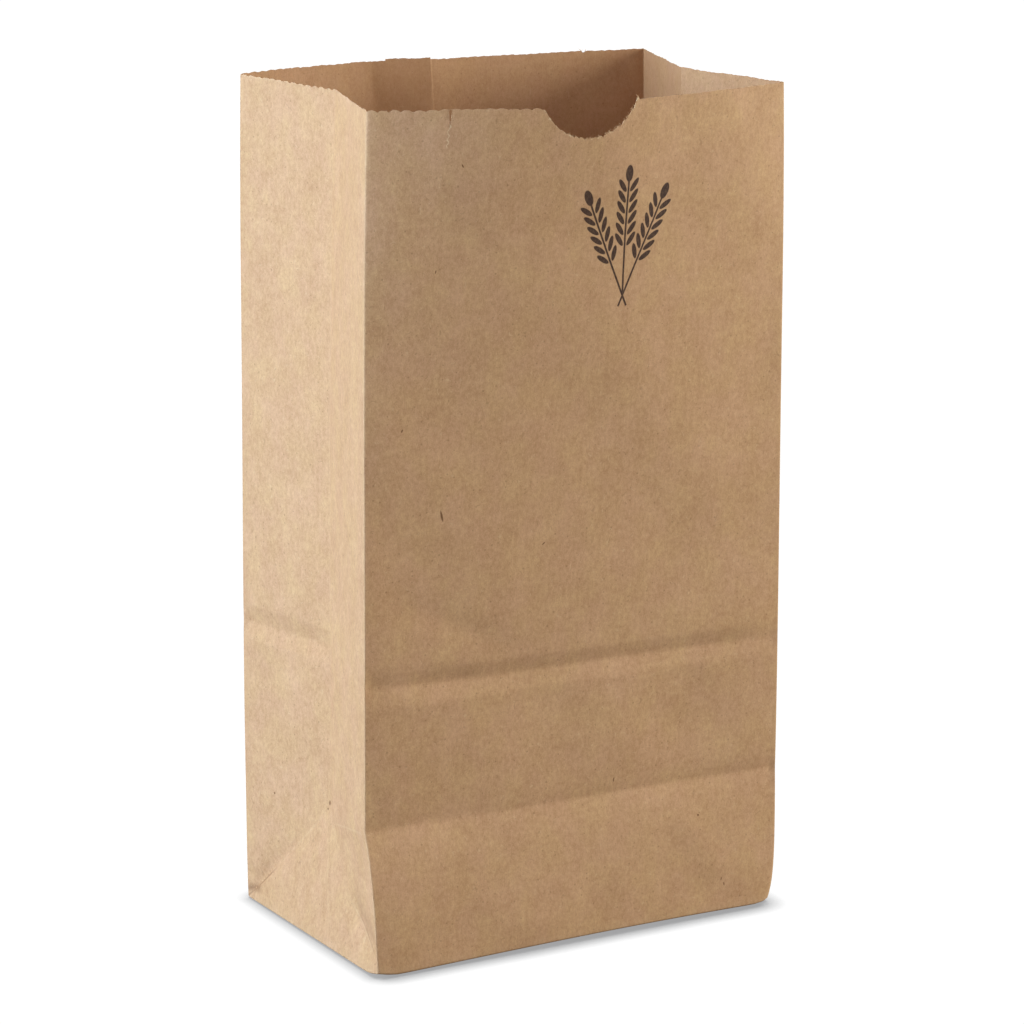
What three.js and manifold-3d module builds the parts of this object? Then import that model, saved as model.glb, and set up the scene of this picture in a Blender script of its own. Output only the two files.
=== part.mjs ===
// Flat-bottomed paper bag: one sheet of kraft paper, lapped into a gusseted tube along the
// back and folded and pasted shut at its base. It stands open, as it looks in use.
// Millimetres, +Z up. The origin is the middle of the underside; the front panel faces -Y.

import * as THREE from 'three';
import { mergeVertices } from 'three/addons/utils/BufferGeometryUtils.js';
import Module from 'manifold-3d';

const { degToRad, lerp } = THREE.MathUtils;

// The sheet
const PAPER = 0.12; // thickness of one ply
const PANEL_WIDTH = 119.5; // front and back panels
const GUSSET_WIDTH = 74.5; // each side unfolded, which is also the depth of the base
const BAG_HEIGHT = 219; // base to mouth
const LONG_EDGE_RADIUS = 5; // soft folds between the base and the front and back
const SHORT_EDGE_RADIUS = 0.8; // crisp folds between the base and the sides
const EDGE_TURN = degToRad(60); // how far round those folds a wall goes before the flaps begin

// How far the bag has opened
const APEX_TUCK = 6.5; // side crease pulled in, at the tip of the base triangle
const APEX_DROP = 3.2; // that tip lies lower than the front panel's fold line
const MOUTH_TUCK = 9.3; // side crease pulled in, at the mouth
const FRONT_BOW = 12; // belly of the front panel at the mouth
const FRONT_BOW_PEAK = 0.42; // where it is fullest, as a share of the panel from its left fold
const BACK_BOW = 10; // belly of the back panel at the mouth
const BOW_EASE = 1.5; // how late up the wall a belly comes in
const PANEL_TURN = degToRad(2.7); // the front and back rims are turned clockwise over the base
const SIDE_TURN = degToRad(1.8); // the sides are turned by less, and already at the fold line
const FOLD_SET_IN = 2.3; // the left end of the front fold line is pushed in
const SET_IN_EASE = 4; // how soon that dies out below the fold line

// Mark of the flat fold, where the base lay folded up against the front
const PRESS_DEPTH = 0.35;
const PRESS_BAND = 4.5; // height of the pressed band

// The saw-cut rim
const TOOTH_PITCH = 2.8;
const TOOTH_DEPTH = 0.45;
const TOOTH_CREST = 0.4; // flat top of a tooth, as a share of the pitch
const BACK_LIP = 0.6; // the back rim stands higher than the front rim

// Thumb notch in the front rim
const NOTCH_WIDTH = 27;
const NOTCH_DEPTH = 8.8;
const NOTCH_OFFSET = -3.2; // X of its middle, along the panel
const NOTCH_STEPS = 14;

// Short tear in the front rim
const TEAR_DEPTH = 4.5;
const TEAR_WIDTH = 0.6;
const TEAR_FROM_LEFT = 19.5;

// Lap seam down the back, where the left ply lies inside the right one
const SEAM_LAP = 12.5;
const SEAM_OFFSET = -6.8; // X of its middle, along the panel
const SEAM_RISE = 0.5; // the plies are cut a little higher there
const SEAM_STEP = 0.1; // width of the step at a ply's edge

// Base flaps
const FLAP_OVERLAP = 18; // the two long flaps lap over each other by this much

// Fineness of the walls
const PANEL_STEPS = 16;
const GUSSET_STEPS = 2;
const UPPER_ROWS = 5;
const RIM_MARGIN = 5; // plain wall kept below the deepest cut in the rim
const TINY = 1e-6;

// Sizes that follow
const HALF_WIDTH = PANEL_WIDTH / 2;
const HALF_GUSSET = GUSSET_WIDTH / 2;
const FOLD_HEIGHT = HALF_GUSSET; // the base folds up flat at half its own depth
const APEX_HEIGHT = FOLD_HEIGHT - APEX_DROP;
const FLAP_LENGTH = HALF_GUSSET + FLAP_OVERLAP / 2;
const BASE_THICKNESS = 3 * PAPER;
const RIM_BASE = BAG_HEIGHT - Math.max(NOTCH_DEPTH, TEAR_DEPTH) - RIM_MARGIN;
const SEAM_INNER_EDGE = HALF_WIDTH - SEAM_OFFSET - SEAM_LAP / 2; // from the right rear fold
const SEAM_OUTER_EDGE = SEAM_INNER_EDGE + SEAM_LAP;

// The wall, anticlockwise from above: each panel starts at the fold line of its own number.
// The triangles of the base are panels too, which narrow to nothing at their tips.
const GUSSET_HALF = { width: HALF_GUSSET, steps: GUSSET_STEPS, bow: 0, peak: 0.5 };
const TRIANGLE = { width: 1, steps: 1, bow: 0, peak: 0.5, press: 0 };
const PANELS = [
  { width: PANEL_WIDTH, steps: PANEL_STEPS, bow: FRONT_BOW, peak: FRONT_BOW_PEAK, press: 1 },
  { ...GUSSET_HALF, press: 0 },
  TRIANGLE,
  { ...GUSSET_HALF, press: 1 },
  { width: PANEL_WIDTH, steps: PANEL_STEPS, bow: BACK_BOW, peak: 0.5, press: 0 },
  { ...GUSSET_HALF, press: 1 },
  TRIANGLE,
  { ...GUSSET_HALF, press: 0 },
];
const FRONT = 0;
const BACK = 4;
const GIRTH = PANELS.reduce((sum, panel) => sum + panel.width, 0);

// Distance round the wall, used only to put points in order
function girthAt(panel, share) {
  const before = PANELS.slice(0, panel).reduce((sum, each) => sum + each.width, 0);
  return before + share * PANELS[panel].width;
}

// Belly of a panel at a height: none up to the pressed line, full at the mouth
function bowAt(bow, z) {
  const rise = Math.max(0, (z - GUSSET_WIDTH) / (BAG_HEIGHT - GUSSET_WIDTH));
  return bow * rise ** BOW_EASE;
}

// Half of a bowed panel's chord: the paper keeps its width, so its folds come closer
function halfChord(bow) {
  return HALF_WIDTH - (4 / 3) * (bow ** 2 / PANEL_WIDTH);
}

// How far the side creases are pulled in at a height
function tuckAt(z) {
  if (z < APEX_HEIGHT) return (APEX_TUCK * z) / APEX_HEIGHT;
  return lerp(APEX_TUCK, MOUTH_TUCK, (z - APEX_HEIGHT) / (BAG_HEIGHT - APEX_HEIGHT));
}

// Half the depth between the front and back folds: the gusset halves keep their width
function halfDepthAt(z) {
  const open = Math.sqrt(HALF_GUSSET ** 2 - tuckAt(Math.max(z, FOLD_HEIGHT)) ** 2);
  return lerp(HALF_GUSSET, open, Math.min(1, z / FOLD_HEIGHT));
}

// How far a wall has turned in under itself at its fold with the base
function edgeInset(radius, z) {
  const below = Math.max(0, BASE_THICKNESS + radius - z);
  const turned = Math.min(below, radius * Math.sin(EDGE_TURN));
  return radius - Math.sqrt(radius ** 2 - turned ** 2);
}

// The eight fold lines at a height, in plan
function foldLines(z) {
  const low = Math.min(1, z / FOLD_HEIGHT);
  const high = Math.max(0, (z - FOLD_HEIGHT) / (BAG_HEIGHT - FOLD_HEIGHT));
  const halfDepth = halfDepthAt(z);
  const middle = (HALF_GUSSET - halfDepth) * low * (1 - high); // off centre only near the fold line
  const back = middle + halfDepth;
  const frontRight = middle - halfDepth;
  const frontLeft = frontRight + FOLD_SET_IN * low ** SET_IN_EASE * (1 - high);
  const frontHalf = halfChord(bowAt(FRONT_BOW, z));
  const backHalf = halfChord(bowAt(BACK_BOW, z));
  const crease = (frontHalf + backHalf) / 2 - tuckAt(z);
  const toTip = Math.min(1, z / APEX_HEIGHT);
  const narrowing = 1 - edgeInset(SHORT_EDGE_RADIUS, z) / HALF_WIDTH;
  const thinning = 1 - edgeInset(LONG_EDGE_RADIUS, z) / HALF_GUSSET;
  return [
    [-frontHalf, frontLeft],
    [frontHalf, frontRight],
    [crease, lerp(frontRight, middle, toTip)],
    [crease, lerp(back, middle, toTip)],
    [backHalf, back],
    [-backHalf, back],
    [-crease, lerp(back, middle, toTip)],
    [-crease, lerp(frontLeft, middle, toTip)],
  ].map(([x, y]) => new THREE.Vector2(
    narrowing * x + y * low * Math.tan(SIDE_TURN),
    thinning * y - x * high * Math.tan(PANEL_TURN),
  ));
}

// Shallow dent of the pressed line, with a soft ridge under it
function pressAt(z) {
  const bands = (z - GUSSET_WIDTH) / PRESS_BAND;
  if (bands >= 0) return -PRESS_DEPTH * Math.max(0, 1 - bands);
  return -PRESS_DEPTH * Math.max(Math.min(0, -bands - 2), 1 + 1.5 * bands);
}

// Middle of the paper at a share of a panel and a height, in plan
function wallPoint(panel, share, z) {
  const lines = foldLines(z);
  const from = lines[panel];
  const along = lines[(panel + 1) % lines.length].clone().sub(from);
  if (along.length() < TINY) return from;
  const { bow, peak, press } = PANELS[panel];
  const belly = bowAt(bow, z) * Math.sin(Math.PI * share ** (Math.log(0.5) / Math.log(peak)));
  const dent = press * pressAt(z) * Math.sin(Math.PI * share);
  const outward = new THREE.Vector2(along.y, -along.x).normalize();
  return from.clone().addScaledVector(along, share).addScaledVector(outward, belly + dent);
}

// Outward normal of a panel in plan, or nothing where the panel has no width
function panelNormal(panel, share, z) {
  const reach = 0.01;
  const along = wallPoint(panel, Math.min(1, share + reach), z)
    .clone().sub(wallPoint(panel, Math.max(0, share - reach), z));
  return along.length() < TINY ? null : new THREE.Vector2(along.y, -along.x).normalize();
}

// The nearest panel with some width, going round one way, gives the normal beside a fold
function normalBeside(panel, way, z) {
  const count = PANELS.length;
  for (let step = 0; step < count; step += 1) {
    const normal = panelNormal((panel + way * step + count) % count, way > 0 ? 0 : 1, z);
    if (normal) return normal;
  }
  throw new Error('the wall has no width');
}

// Direction in which the two faces of the paper are offset: mitred at the folds
function offsetDirection(panel, share, z) {
  const own = panelNormal(panel, share, z);
  if (own && share > 0) return own;
  const after = normalBeside(panel, 1, z);
  const before = normalBeside(panel + PANELS.length - 1, -1, z);
  return after.clone().add(before).divideScalar(1 + after.dot(before));
}

// Outer and inner face of the paper, from its middle. In the lap the inner ply adds its own
// thickness, and from there it eases back into line towards the left fold.
function faces(panel, share) {
  const plain = { outer: PAPER / 2, inner: -PAPER / 2 };
  if (panel !== BACK) return plain;
  const distance = share * PANEL_WIDTH;
  const past = Math.max(0, distance - SEAM_OUTER_EDGE) / (PANEL_WIDTH - SEAM_OUTER_EDGE);
  const shift = PAPER * (1 - past);
  const ramp = (edge) => THREE.MathUtils.clamp((distance - edge) / SEAM_STEP, 0, 1);
  return {
    outer: plain.outer - shift * ramp(SEAM_OUTER_EDGE),
    inner: plain.inner - shift * ramp(SEAM_INNER_EDGE),
  };
}

// A point on one face of the paper
function skinPoint({ panel, share, z }, face) {
  const plan = wallPoint(panel, share, z).clone()
    .addScaledVector(offsetDirection(panel, share, z), faces(panel, share)[face]);
  return new THREE.Vector3(plan.x, plan.y, z);
}

// Saw teeth along a cut edge: distance along it, and drop below its line
function sawTeeth(length) {
  const count = Math.max(1, Math.round(length / TOOTH_PITCH));
  const pitch = length / count;
  const crest = [(1 - TOOTH_CREST) / 2, (1 + TOOTH_CREST) / 2];
  return Array.from({ length: count }, (_, tooth) => [
    { distance: tooth * pitch, drop: TOOTH_DEPTH },
    ...crest.map((part) => ({ distance: (tooth + part) * pitch, drop: 0 })),
  ]).flat();
}

// A cut put in place of the teeth it takes away
function withCut(edge, cut) {
  const clear = TOOTH_PITCH / 10;
  const first = cut[0].distance - clear;
  const last = cut[cut.length - 1].distance + clear;
  const kept = edge.filter(({ distance }) => distance < first || distance > last);
  return [...kept, ...cut].sort((a, b) => a.distance - b.distance);
}

// The thumb notch is one arc
function thumbNotch() {
  const half = NOTCH_WIDTH / 2;
  const radius = (half ** 2 + NOTCH_DEPTH ** 2) / (2 * NOTCH_DEPTH);
  const sweep = Math.atan2(half, radius - NOTCH_DEPTH);
  return Array.from({ length: NOTCH_STEPS + 1 }, (_, step) => {
    const angle = lerp(-sweep, sweep, step / NOTCH_STEPS);
    return {
      distance: HALF_WIDTH + NOTCH_OFFSET + radius * Math.sin(angle),
      drop: radius * Math.cos(angle) - radius + NOTCH_DEPTH,
    };
  });
}

// The tear is a narrow slit that closes to a point
function tear() {
  return [-1, 0, 1].map((side) => ({
    distance: TEAR_FROM_LEFT + (side * TEAR_WIDTH) / 2,
    drop: side === 0 ? TEAR_DEPTH : 0,
  }));
}

// The lap is cut a little higher than the rest of the back rim
function lapRim(edge) {
  const inLap = ({ distance }) => distance > SEAM_INNER_EDGE && distance < SEAM_OUTER_EDGE;
  const raised = edge.map((point) => (inLap(point) ? { ...point, drop: point.drop - SEAM_RISE } : point));
  const step = (distance, first, second) => [
    { distance, drop: first },
    { distance: distance + SEAM_STEP, drop: second },
  ];
  const started = withCut(raised, step(SEAM_INNER_EDGE, 0, -SEAM_RISE));
  return withCut(started, step(SEAM_OUTER_EDGE, -SEAM_RISE, 0));
}

// The rim, panel by panel. It follows the paper, so its height is set where the wall stands.
function rimLoop() {
  return PANELS.flatMap(({ width }, panel) => {
    if (PANELS[panel] === TRIANGLE) return [];
    let edge = sawTeeth(width);
    if (panel === FRONT) edge = withCut(withCut(edge, thumbNotch()), tear());
    if (panel === BACK) edge = lapRim(edge);
    return edge.map(({ distance, drop }) => {
      const share = distance / width;
      const lip = (BACK_LIP * wallPoint(panel, share, BAG_HEIGHT).y) / GUSSET_WIDTH;
      return { panel, share, z: BAG_HEIGHT + lip - drop, girth: girthAt(panel, share) };
    });
  });
}

// Distances along a panel where something starts or ends: the cuts in front, the lap behind
function marksOn(panel) {
  if (panel === FRONT) {
    const notch = thumbNotch();
    return [notch[0], notch[notch.length - 1], ...tear()].map(({ distance }) => distance);
  }
  if (panel === BACK) return [SEAM_INNER_EDGE, SEAM_OUTER_EDGE].flatMap((edge) => [edge, edge + SEAM_STEP]);
  return [];
}

// Columns of the wall: even steps, with one more at each mark
function wallColumns() {
  return PANELS.flatMap(({ width, steps }, panel) => {
    const even = Array.from({ length: steps }, (_, step) => step / steps);
    const shares = [...even, ...marksOn(panel).map((distance) => distance / width)];
    return shares.sort((a, b) => a - b).map((share) => ({ panel, share, girth: girthAt(panel, share) }));
  });
}

// Heights of the rows: close together round the folds, even above them
function wallRows() {
  const edgeTop = BASE_THICKNESS + LONG_EDGE_RADIUS;
  const edge = [1, 0.5].map((part) => edgeTop - LONG_EDGE_RADIUS * Math.sin(part * EDGE_TURN));
  const bands = [-2, -1, 0, 1].map((band) => GUSSET_WIDTH + band * PRESS_BAND);
  const upper = Array.from({ length: UPPER_ROWS }, (_, row) => (
    lerp(bands[bands.length - 1], RIM_BASE, (row + 1) / UPPER_ROWS)
  ));
  const folds = [APEX_HEIGHT / 2, APEX_HEIGHT, FOLD_HEIGHT];
  return [0, BASE_THICKNESS, ...edge, edgeTop, ...folds, ...bands, ...upper];
}

// Triangles between two loops of points, taken in order round the wall
function stitch(lower, upper, addTriangle) {
  const girthOf = (loop, index) => (index < loop.length ? loop[index].girth : GIRTH);
  let i = 0;
  let j = 0;
  while (i < lower.length || j < upper.length) {
    const below = lower[i % lower.length];
    const above = upper[j % upper.length];
    const stepBelow = i < lower.length
      && (j === upper.length || girthOf(lower, i + 1) <= girthOf(upper, j + 1));
    if (stepBelow) {
      i += 1;
      addTriangle(below, lower[i % lower.length], above);
    } else {
      j += 1;
      addTriangle(below, upper[j % upper.length], above);
    }
  }
}

// The tube: an outer and an inner face, joined round the rim and round the foot
function tubeGeometry() {
  const columns = wallColumns();
  const rows = wallRows().map((z) => columns.map((column) => ({ ...column, z })));
  const loops = [...rows, rimLoop()].map((loop) => loop.map((point) => ({
    girth: point.girth,
    outer: skinPoint(point, 'outer'),
    inner: skinPoint(point, 'inner'),
  })));
  const corners = [];
  for (let row = 0; row + 1 < loops.length; row += 1) {
    stitch(loops[row], loops[row + 1], (a, b, c) => {
      corners.push(a.outer, b.outer, c.outer, a.inner, c.inner, b.inner);
    });
  }
  const foot = loops[0];
  const rim = loops[loops.length - 1];
  rim.forEach((point, index) => {
    const next = rim[(index + 1) % rim.length];
    corners.push(point.outer, next.outer, next.inner, point.outer, next.inner, point.inner);
  });
  foot.forEach((point, index) => {
    const next = foot[(index + 1) % foot.length];
    corners.push(point.outer, next.inner, next.outer, point.outer, point.inner, next.inner);
  });
  return new THREE.BufferGeometry().setFromPoints(corners);
}

// One ply of the base, lying flat: its outline, and which ply it is, counted from below
function plyGeometry(outline, ply) {
  const shape = new THREE.Shape(outline.map(([x, y]) => new THREE.Vector2(x, y)));
  const flat = new THREE.ExtrudeGeometry(shape, { depth: PAPER, bevelEnabled: false });
  return flat.translate(0, 0, ply * PAPER);
}

// The base's outline follows the middle of the paper where the walls meet it
const FOOT_X = HALF_WIDTH - edgeInset(SHORT_EDGE_RADIUS, 0);
const FOOT_Y = HALF_GUSSET - edgeInset(LONG_EDGE_RADIUS, 0);

// Long flap from the front (-1) or back (1) edge: a trapezoid with a saw-cut free edge
function longFlap(side) {
  const freeHalf = FOOT_X - FLAP_LENGTH;
  const free = sawTeeth(2 * freeHalf).slice(1)
    .map(({ distance, drop }) => [distance - freeHalf, side * (FOOT_Y - FLAP_LENGTH + drop)]);
  const freeEnds = [-freeHalf, freeHalf].map((x) => [x, side * (FOOT_Y - FLAP_LENGTH)]);
  return [[FOOT_X, side * FOOT_Y], [-FOOT_X, side * FOOT_Y], freeEnds[0], ...free, freeEnds[1]];
}

// Short flap from the left (-1) or right (1) edge, under the ends of the long ones
function shortFlap(side) {
  const free = sawTeeth(2 * FOOT_Y).slice(1)
    .map(({ distance, drop }) => [side * (FOOT_X - FLAP_LENGTH + drop), distance - FOOT_Y]);
  const freeX = side * (FOOT_X - FLAP_LENGTH);
  return [[side * FOOT_X, FOOT_Y], [side * FOOT_X, -FOOT_Y], [freeX, -FOOT_Y], ...free, [freeX, FOOT_Y]];
}

// End of the back flap, folded in flat under the short flap
function foldedEnd(side) {
  const inX = side * (FOOT_X - FLAP_LENGTH);
  return [[side * FOOT_X, FOOT_Y], [inX, FOOT_Y - FLAP_LENGTH], [inX, FOOT_Y]];
}

// The plies of the base from below: back flap, front flap with the folded ends, short flaps
function basePlies() {
  return [
    plyGeometry(longFlap(1), 0),
    plyGeometry(longFlap(-1), 1),
    ...[-1, 1].map((side) => plyGeometry(foldedEnd(side), 1)),
    ...[-1, 1].map((side) => plyGeometry(shortFlap(side), 2)),
  ];
}

const wasm = await Module();
wasm.setup();

// A closed solid from a geometry, with shared points merged and empty triangles left out
function solidFrom(geometry) {
  const bare = new THREE.BufferGeometry().setAttribute('position', geometry.getAttribute('position'));
  const welded = mergeVertices(bare, 1e-4);
  const { array } = welded.getIndex();
  const triangles = [];
  for (let at = 0; at < array.length; at += 3) {
    const [a, b, c] = array.slice(at, at + 3);
    if (a !== b && b !== c && c !== a) triangles.push(a, b, c);
  }
  return new wasm.Manifold(new wasm.Mesh({
    numProp: 3,
    vertProperties: Float32Array.from(welded.getAttribute('position').array),
    triVerts: Uint32Array.from(triangles),
  }));
}

// The pasted bag as one solid
function bagGeometry() {
  const solid = basePlies().map(solidFrom)
    .reduce((whole, ply) => whole.add(ply), solidFrom(tubeGeometry()));
  const { vertProperties, triVerts } = solid.getMesh();
  const geometry = new THREE.BufferGeometry();
  geometry.setAttribute('position', new THREE.BufferAttribute(vertProperties, 3));
  geometry.setIndex(new THREE.BufferAttribute(triVerts, 1));
  geometry.computeVertexNormals();
  return geometry;
}

const kraftPaper = new THREE.MeshStandardMaterial({ color: 0xbd9a70, roughness: 0.9, metalness: 0 });
const paperBag = new THREE.Mesh(bagGeometry(), kraftPaper);
paperBag.name = 'paper_bag';

const bag = new THREE.Group();
bag.add(paperBag);

export default bag;
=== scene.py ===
"""A kraft paper grocery bag: the folded sheet, its pasted base, torn fibres and finish.

The sheet is described flat, as it was before folding: u runs round the bag from the front left
fold, anticlockwise from above, and z runs up it. All lengths are metres.
"""

from __future__ import annotations

import logging
import math
from dataclasses import dataclass
from enum import IntEnum
from typing import Any, Sequence

import bmesh
import bpy
import numpy as np
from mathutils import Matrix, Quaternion, Vector

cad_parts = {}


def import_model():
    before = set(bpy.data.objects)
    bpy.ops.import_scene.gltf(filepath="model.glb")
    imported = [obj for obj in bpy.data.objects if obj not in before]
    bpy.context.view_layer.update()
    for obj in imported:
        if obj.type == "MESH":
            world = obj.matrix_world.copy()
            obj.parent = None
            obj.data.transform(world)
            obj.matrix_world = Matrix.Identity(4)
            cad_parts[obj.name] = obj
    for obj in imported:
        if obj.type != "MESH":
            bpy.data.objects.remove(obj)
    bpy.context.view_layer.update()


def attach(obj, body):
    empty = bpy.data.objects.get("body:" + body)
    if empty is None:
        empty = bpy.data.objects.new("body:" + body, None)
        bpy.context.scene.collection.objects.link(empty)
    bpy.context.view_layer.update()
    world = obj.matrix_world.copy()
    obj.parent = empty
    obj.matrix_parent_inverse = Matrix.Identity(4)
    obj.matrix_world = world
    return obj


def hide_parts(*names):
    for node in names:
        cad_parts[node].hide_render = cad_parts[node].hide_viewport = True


LOG = logging.getLogger("paper_bag")
MM = 0.001
NODE = "paper_bag"
BODY = "root"
LAYOUT_MAP = "OFBake"
TINY = 1e-9
TOOTH_POWER = 0.8

Rgb = tuple[float, float, float]
FlatPoint = tuple[float, float]

WHITE: Rgb = (1.0, 1.0, 1.0)


def srgb(red: int, green: int, blue: int) -> Rgb:
    """Gives a colour as it is written for a screen in linear light.

    Args:
        red: Red from 0 to 255.
        green: Green from 0 to 255.
        blue: Blue from 0 to 255.

    Returns:
        The linear colour, each part from 0 to 1.
    """

    def linear(part: int) -> float:
        """Undoes the screen's curve for one part of the colour."""
        share = part / 255.0
        return share / 12.92 if share <= 0.04045 else ((share + 0.055) / 1.055) ** 2.4

    return linear(red), linear(green), linear(blue)


def mix(first: Any, second: Any, share: Any) -> Any:
    """Goes from first to second as share goes from 0 to 1."""
    return first + (second - first) * share


def clipped(share: np.ndarray) -> np.ndarray:
    """Keeps a share from 0 to 1."""
    return np.clip(share, 0.0, 1.0)


def eased(share: np.ndarray) -> np.ndarray:
    """Clips a share to 0 to 1 and rounds off both of its ends."""
    kept = clipped(share)
    return kept * kept * (3.0 - 2.0 * kept)


def hump(distance: np.ndarray, reach: float) -> np.ndarray:
    """Gives 1 at no distance, and falls off smoothly to about a third at the reach."""
    return np.exp(-((distance / reach) ** 2))


def tooth(turn: np.ndarray) -> np.ndarray:
    """Gives the drop of saw teeth as a share of their depth, one tooth to each half turn."""
    return 1.0 - np.abs(np.sin(turn)) ** TOOTH_POWER


def linked(name: str, data: Any) -> bpy.types.Object:
    """Makes an object and puts it into the scene.

    Args:
        name: The object's name.
        data: Its mesh, light or camera.

    Returns:
        The new object.
    """
    made = bpy.data.objects.new(name, data)
    bpy.context.scene.collection.objects.link(made)
    return made


def finished(name: str, mesh: bpy.types.Mesh, sharp: float) -> bpy.types.Object:
    """Shades a mesh smooth between its sharp edges and puts it into the scene.

    Args:
        name: The object's name.
        mesh: Its mesh.
        sharp: Angle past which an edge is drawn sharp.

    Returns:
        The new object.
    """
    mesh.shade_smooth()
    mesh.set_sharp_from_angle(angle=sharp)
    return linked(name, mesh)


class Panel(IntEnum):
    """The panels of the wall in order of u. The triangles narrow to nothing at their tips."""

    FRONT = 0
    RIGHT_FRONT = 1
    RIGHT_TRIANGLE = 2
    RIGHT_REAR = 3
    BACK = 4
    LEFT_REAR = 5
    LEFT_TRIANGLE = 6
    LEFT_FRONT = 7


@dataclass(frozen=True)
class BagSizes:
    """Driving sizes of the bag: the solid's, with its twist and corners as the photograph shows them."""

    paper: float = 0.12 * MM
    panel_width: float = 119.5 * MM
    gusset_width: float = 74.5 * MM
    height: float = 219.0 * MM
    long_edge_radius: float = 0.8 * MM
    corner_edge_radius: float = 0.7 * MM
    corner_edge_reach: float = 16.0 * MM
    short_edge_radius: float = 0.5 * MM
    foot_stretch: float = 0.75 * MM
    foot_stretch_reach: float = 12.0 * MM
    corner_lift: float = 1.2 * MM
    front_lift: float = 1.3 * MM
    foot_set_in: float = 0.5 * MM
    apex_tuck: float = 6.5 * MM
    apex_drop: float = 3.2 * MM
    mouth_tuck: float = 9.3 * MM
    front_bow: float = 12.0 * MM
    front_bow_peak: float = 0.44
    back_bow: float = 10.0 * MM
    back_bow_peak: float = 0.56
    bow_ease: float = 1.7
    panel_turn: float = math.radians(2.7)
    side_turn: float = math.radians(1.4)
    side_turn_growth: float = 1.3
    side_turn_reach: float = 130.0 * MM
    fold_set_in: float = 3.6 * MM
    set_in_ease: float = 3.2
    set_in_release: float = 1.8
    tooth_pitch: float = 2.8 * MM
    tooth_depth: float = 0.45 * MM
    back_lip: float = 0.6 * MM
    back_sag: float = 0.65 * MM
    notch_width: float = 27.0 * MM
    notch_depth: float = 8.8 * MM
    notch_offset: float = -3.2 * MM
    notch_lip: float = 0.55 * MM
    lip_spike: float = 0.8 * MM
    lip_drop: float = 0.55 * MM
    back_nick: float = 0.6 * MM
    back_nick_from_right: float = 17.0 * MM
    tear_depth: float = 4.5 * MM
    tear_width: float = 0.6 * MM
    tear_from_left: float = 19.5 * MM
    seam_lap: float = 12.5 * MM
    seam_offset: float = -6.8 * MM
    seam_rise: float = 0.5 * MM
    seam_step: float = 0.1 * MM
    flap_overlap: float = 18.0 * MM

    @property
    def half_width(self) -> float:
        """Half of the front or back panel."""
        return self.panel_width / 2

    @property
    def half_gusset(self) -> float:
        """Half of a side, which is one of its two folded halves."""
        return self.gusset_width / 2

    @property
    def girth(self) -> float:
        """The way round the bag."""
        return 2 * (self.panel_width + self.gusset_width)

    @property
    def fold_height(self) -> float:
        """Height of the line along which the base folds up flat."""
        return self.half_gusset

    @property
    def apex_height(self) -> float:
        """Height of the tips of the base's triangles."""
        return self.fold_height - self.apex_drop

    @property
    def back_start(self) -> float:
        """Where the back panel starts along u, at the right rear fold."""
        return self.panel_width + self.gusset_width

    @property
    def left_start(self) -> float:
        """Where the left side starts along u, at the left rear fold."""
        return self.back_start + self.panel_width

    @property
    def right_crease(self) -> float:
        """Where the right side's middle crease lies along u."""
        return self.panel_width + self.half_gusset

    @property
    def left_crease(self) -> float:
        """Where the left side's middle crease lies along u."""
        return self.left_start + self.half_gusset

    @property
    def upright_folds(self) -> tuple[float, ...]:
        """Where the four upright folds lie along u, with the first one again at the end."""
        return 0.0, self.panel_width, self.back_start, self.left_start, self.girth

    @property
    def foot(self) -> float:
        """Height of the middle of the paper where a wall meets the base's three plies."""
        return 1.5 * self.paper

    @property
    def flap_length(self) -> float:
        """How far a flap of the base reaches in from its fold."""
        return self.half_gusset + self.flap_overlap / 2

    @property
    def notch_middle(self) -> float:
        """Where the thumb notch is deepest, along u."""
        return self.half_width + self.notch_offset

    @property
    def notch_radius(self) -> float:
        """Radius of the arc that the thumb notch is cut to."""
        half = self.notch_width / 2
        return (half**2 + self.notch_depth**2) / (2 * self.notch_depth)

    @property
    def notch_centre(self) -> float:
        """Height of the middle of that arc."""
        return self.height - self.notch_depth + self.notch_radius

    @property
    def seam_edges(self) -> tuple[float, float]:
        """Where the lap's inner and outer plies end, along u."""
        inner = self.back_start + self.half_width - self.seam_offset - self.seam_lap / 2
        return inner, inner + self.seam_lap

    @property
    def seam_steps(self) -> list[float]:
        """Where the steps of the lap's two plies start and end, along u."""
        return [place for edge in self.seam_edges for place in (edge, edge + self.seam_step)]


@dataclass(frozen=True)
class Ripples:
    """Gentle waves that cross the sheet in all directions.

    Attributes:
        height: Root mean square height of the waves.
        shortest: Shortest wavelength.
        longest: Longest wavelength.
        seed: Seed of their directions and phases.
        count: How many waves are added up.
    """

    height: float
    shortest: float
    longest: float
    seed: int
    count: int = 18

    def at(self, u: np.ndarray, z: np.ndarray) -> np.ndarray:
        """Gives the height of the waves at points of the flat sheet.

        Args:
            u: Places round the bag.
            z: Heights.

        Returns:
            The height at each point.
        """
        draw = np.random.default_rng(self.seed)
        total = np.zeros_like(u)
        for _ in range(self.count):
            angle = draw.uniform(0.0, math.pi)
            wave = 2 * math.pi / draw.uniform(self.shortest, self.longest)
            phase = draw.uniform(0.0, 2 * math.pi)
            total += np.sin(wave * (u * math.cos(angle) + z * math.sin(angle)) + phase)
        return self.height * math.sqrt(2 / self.count) * total


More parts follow.
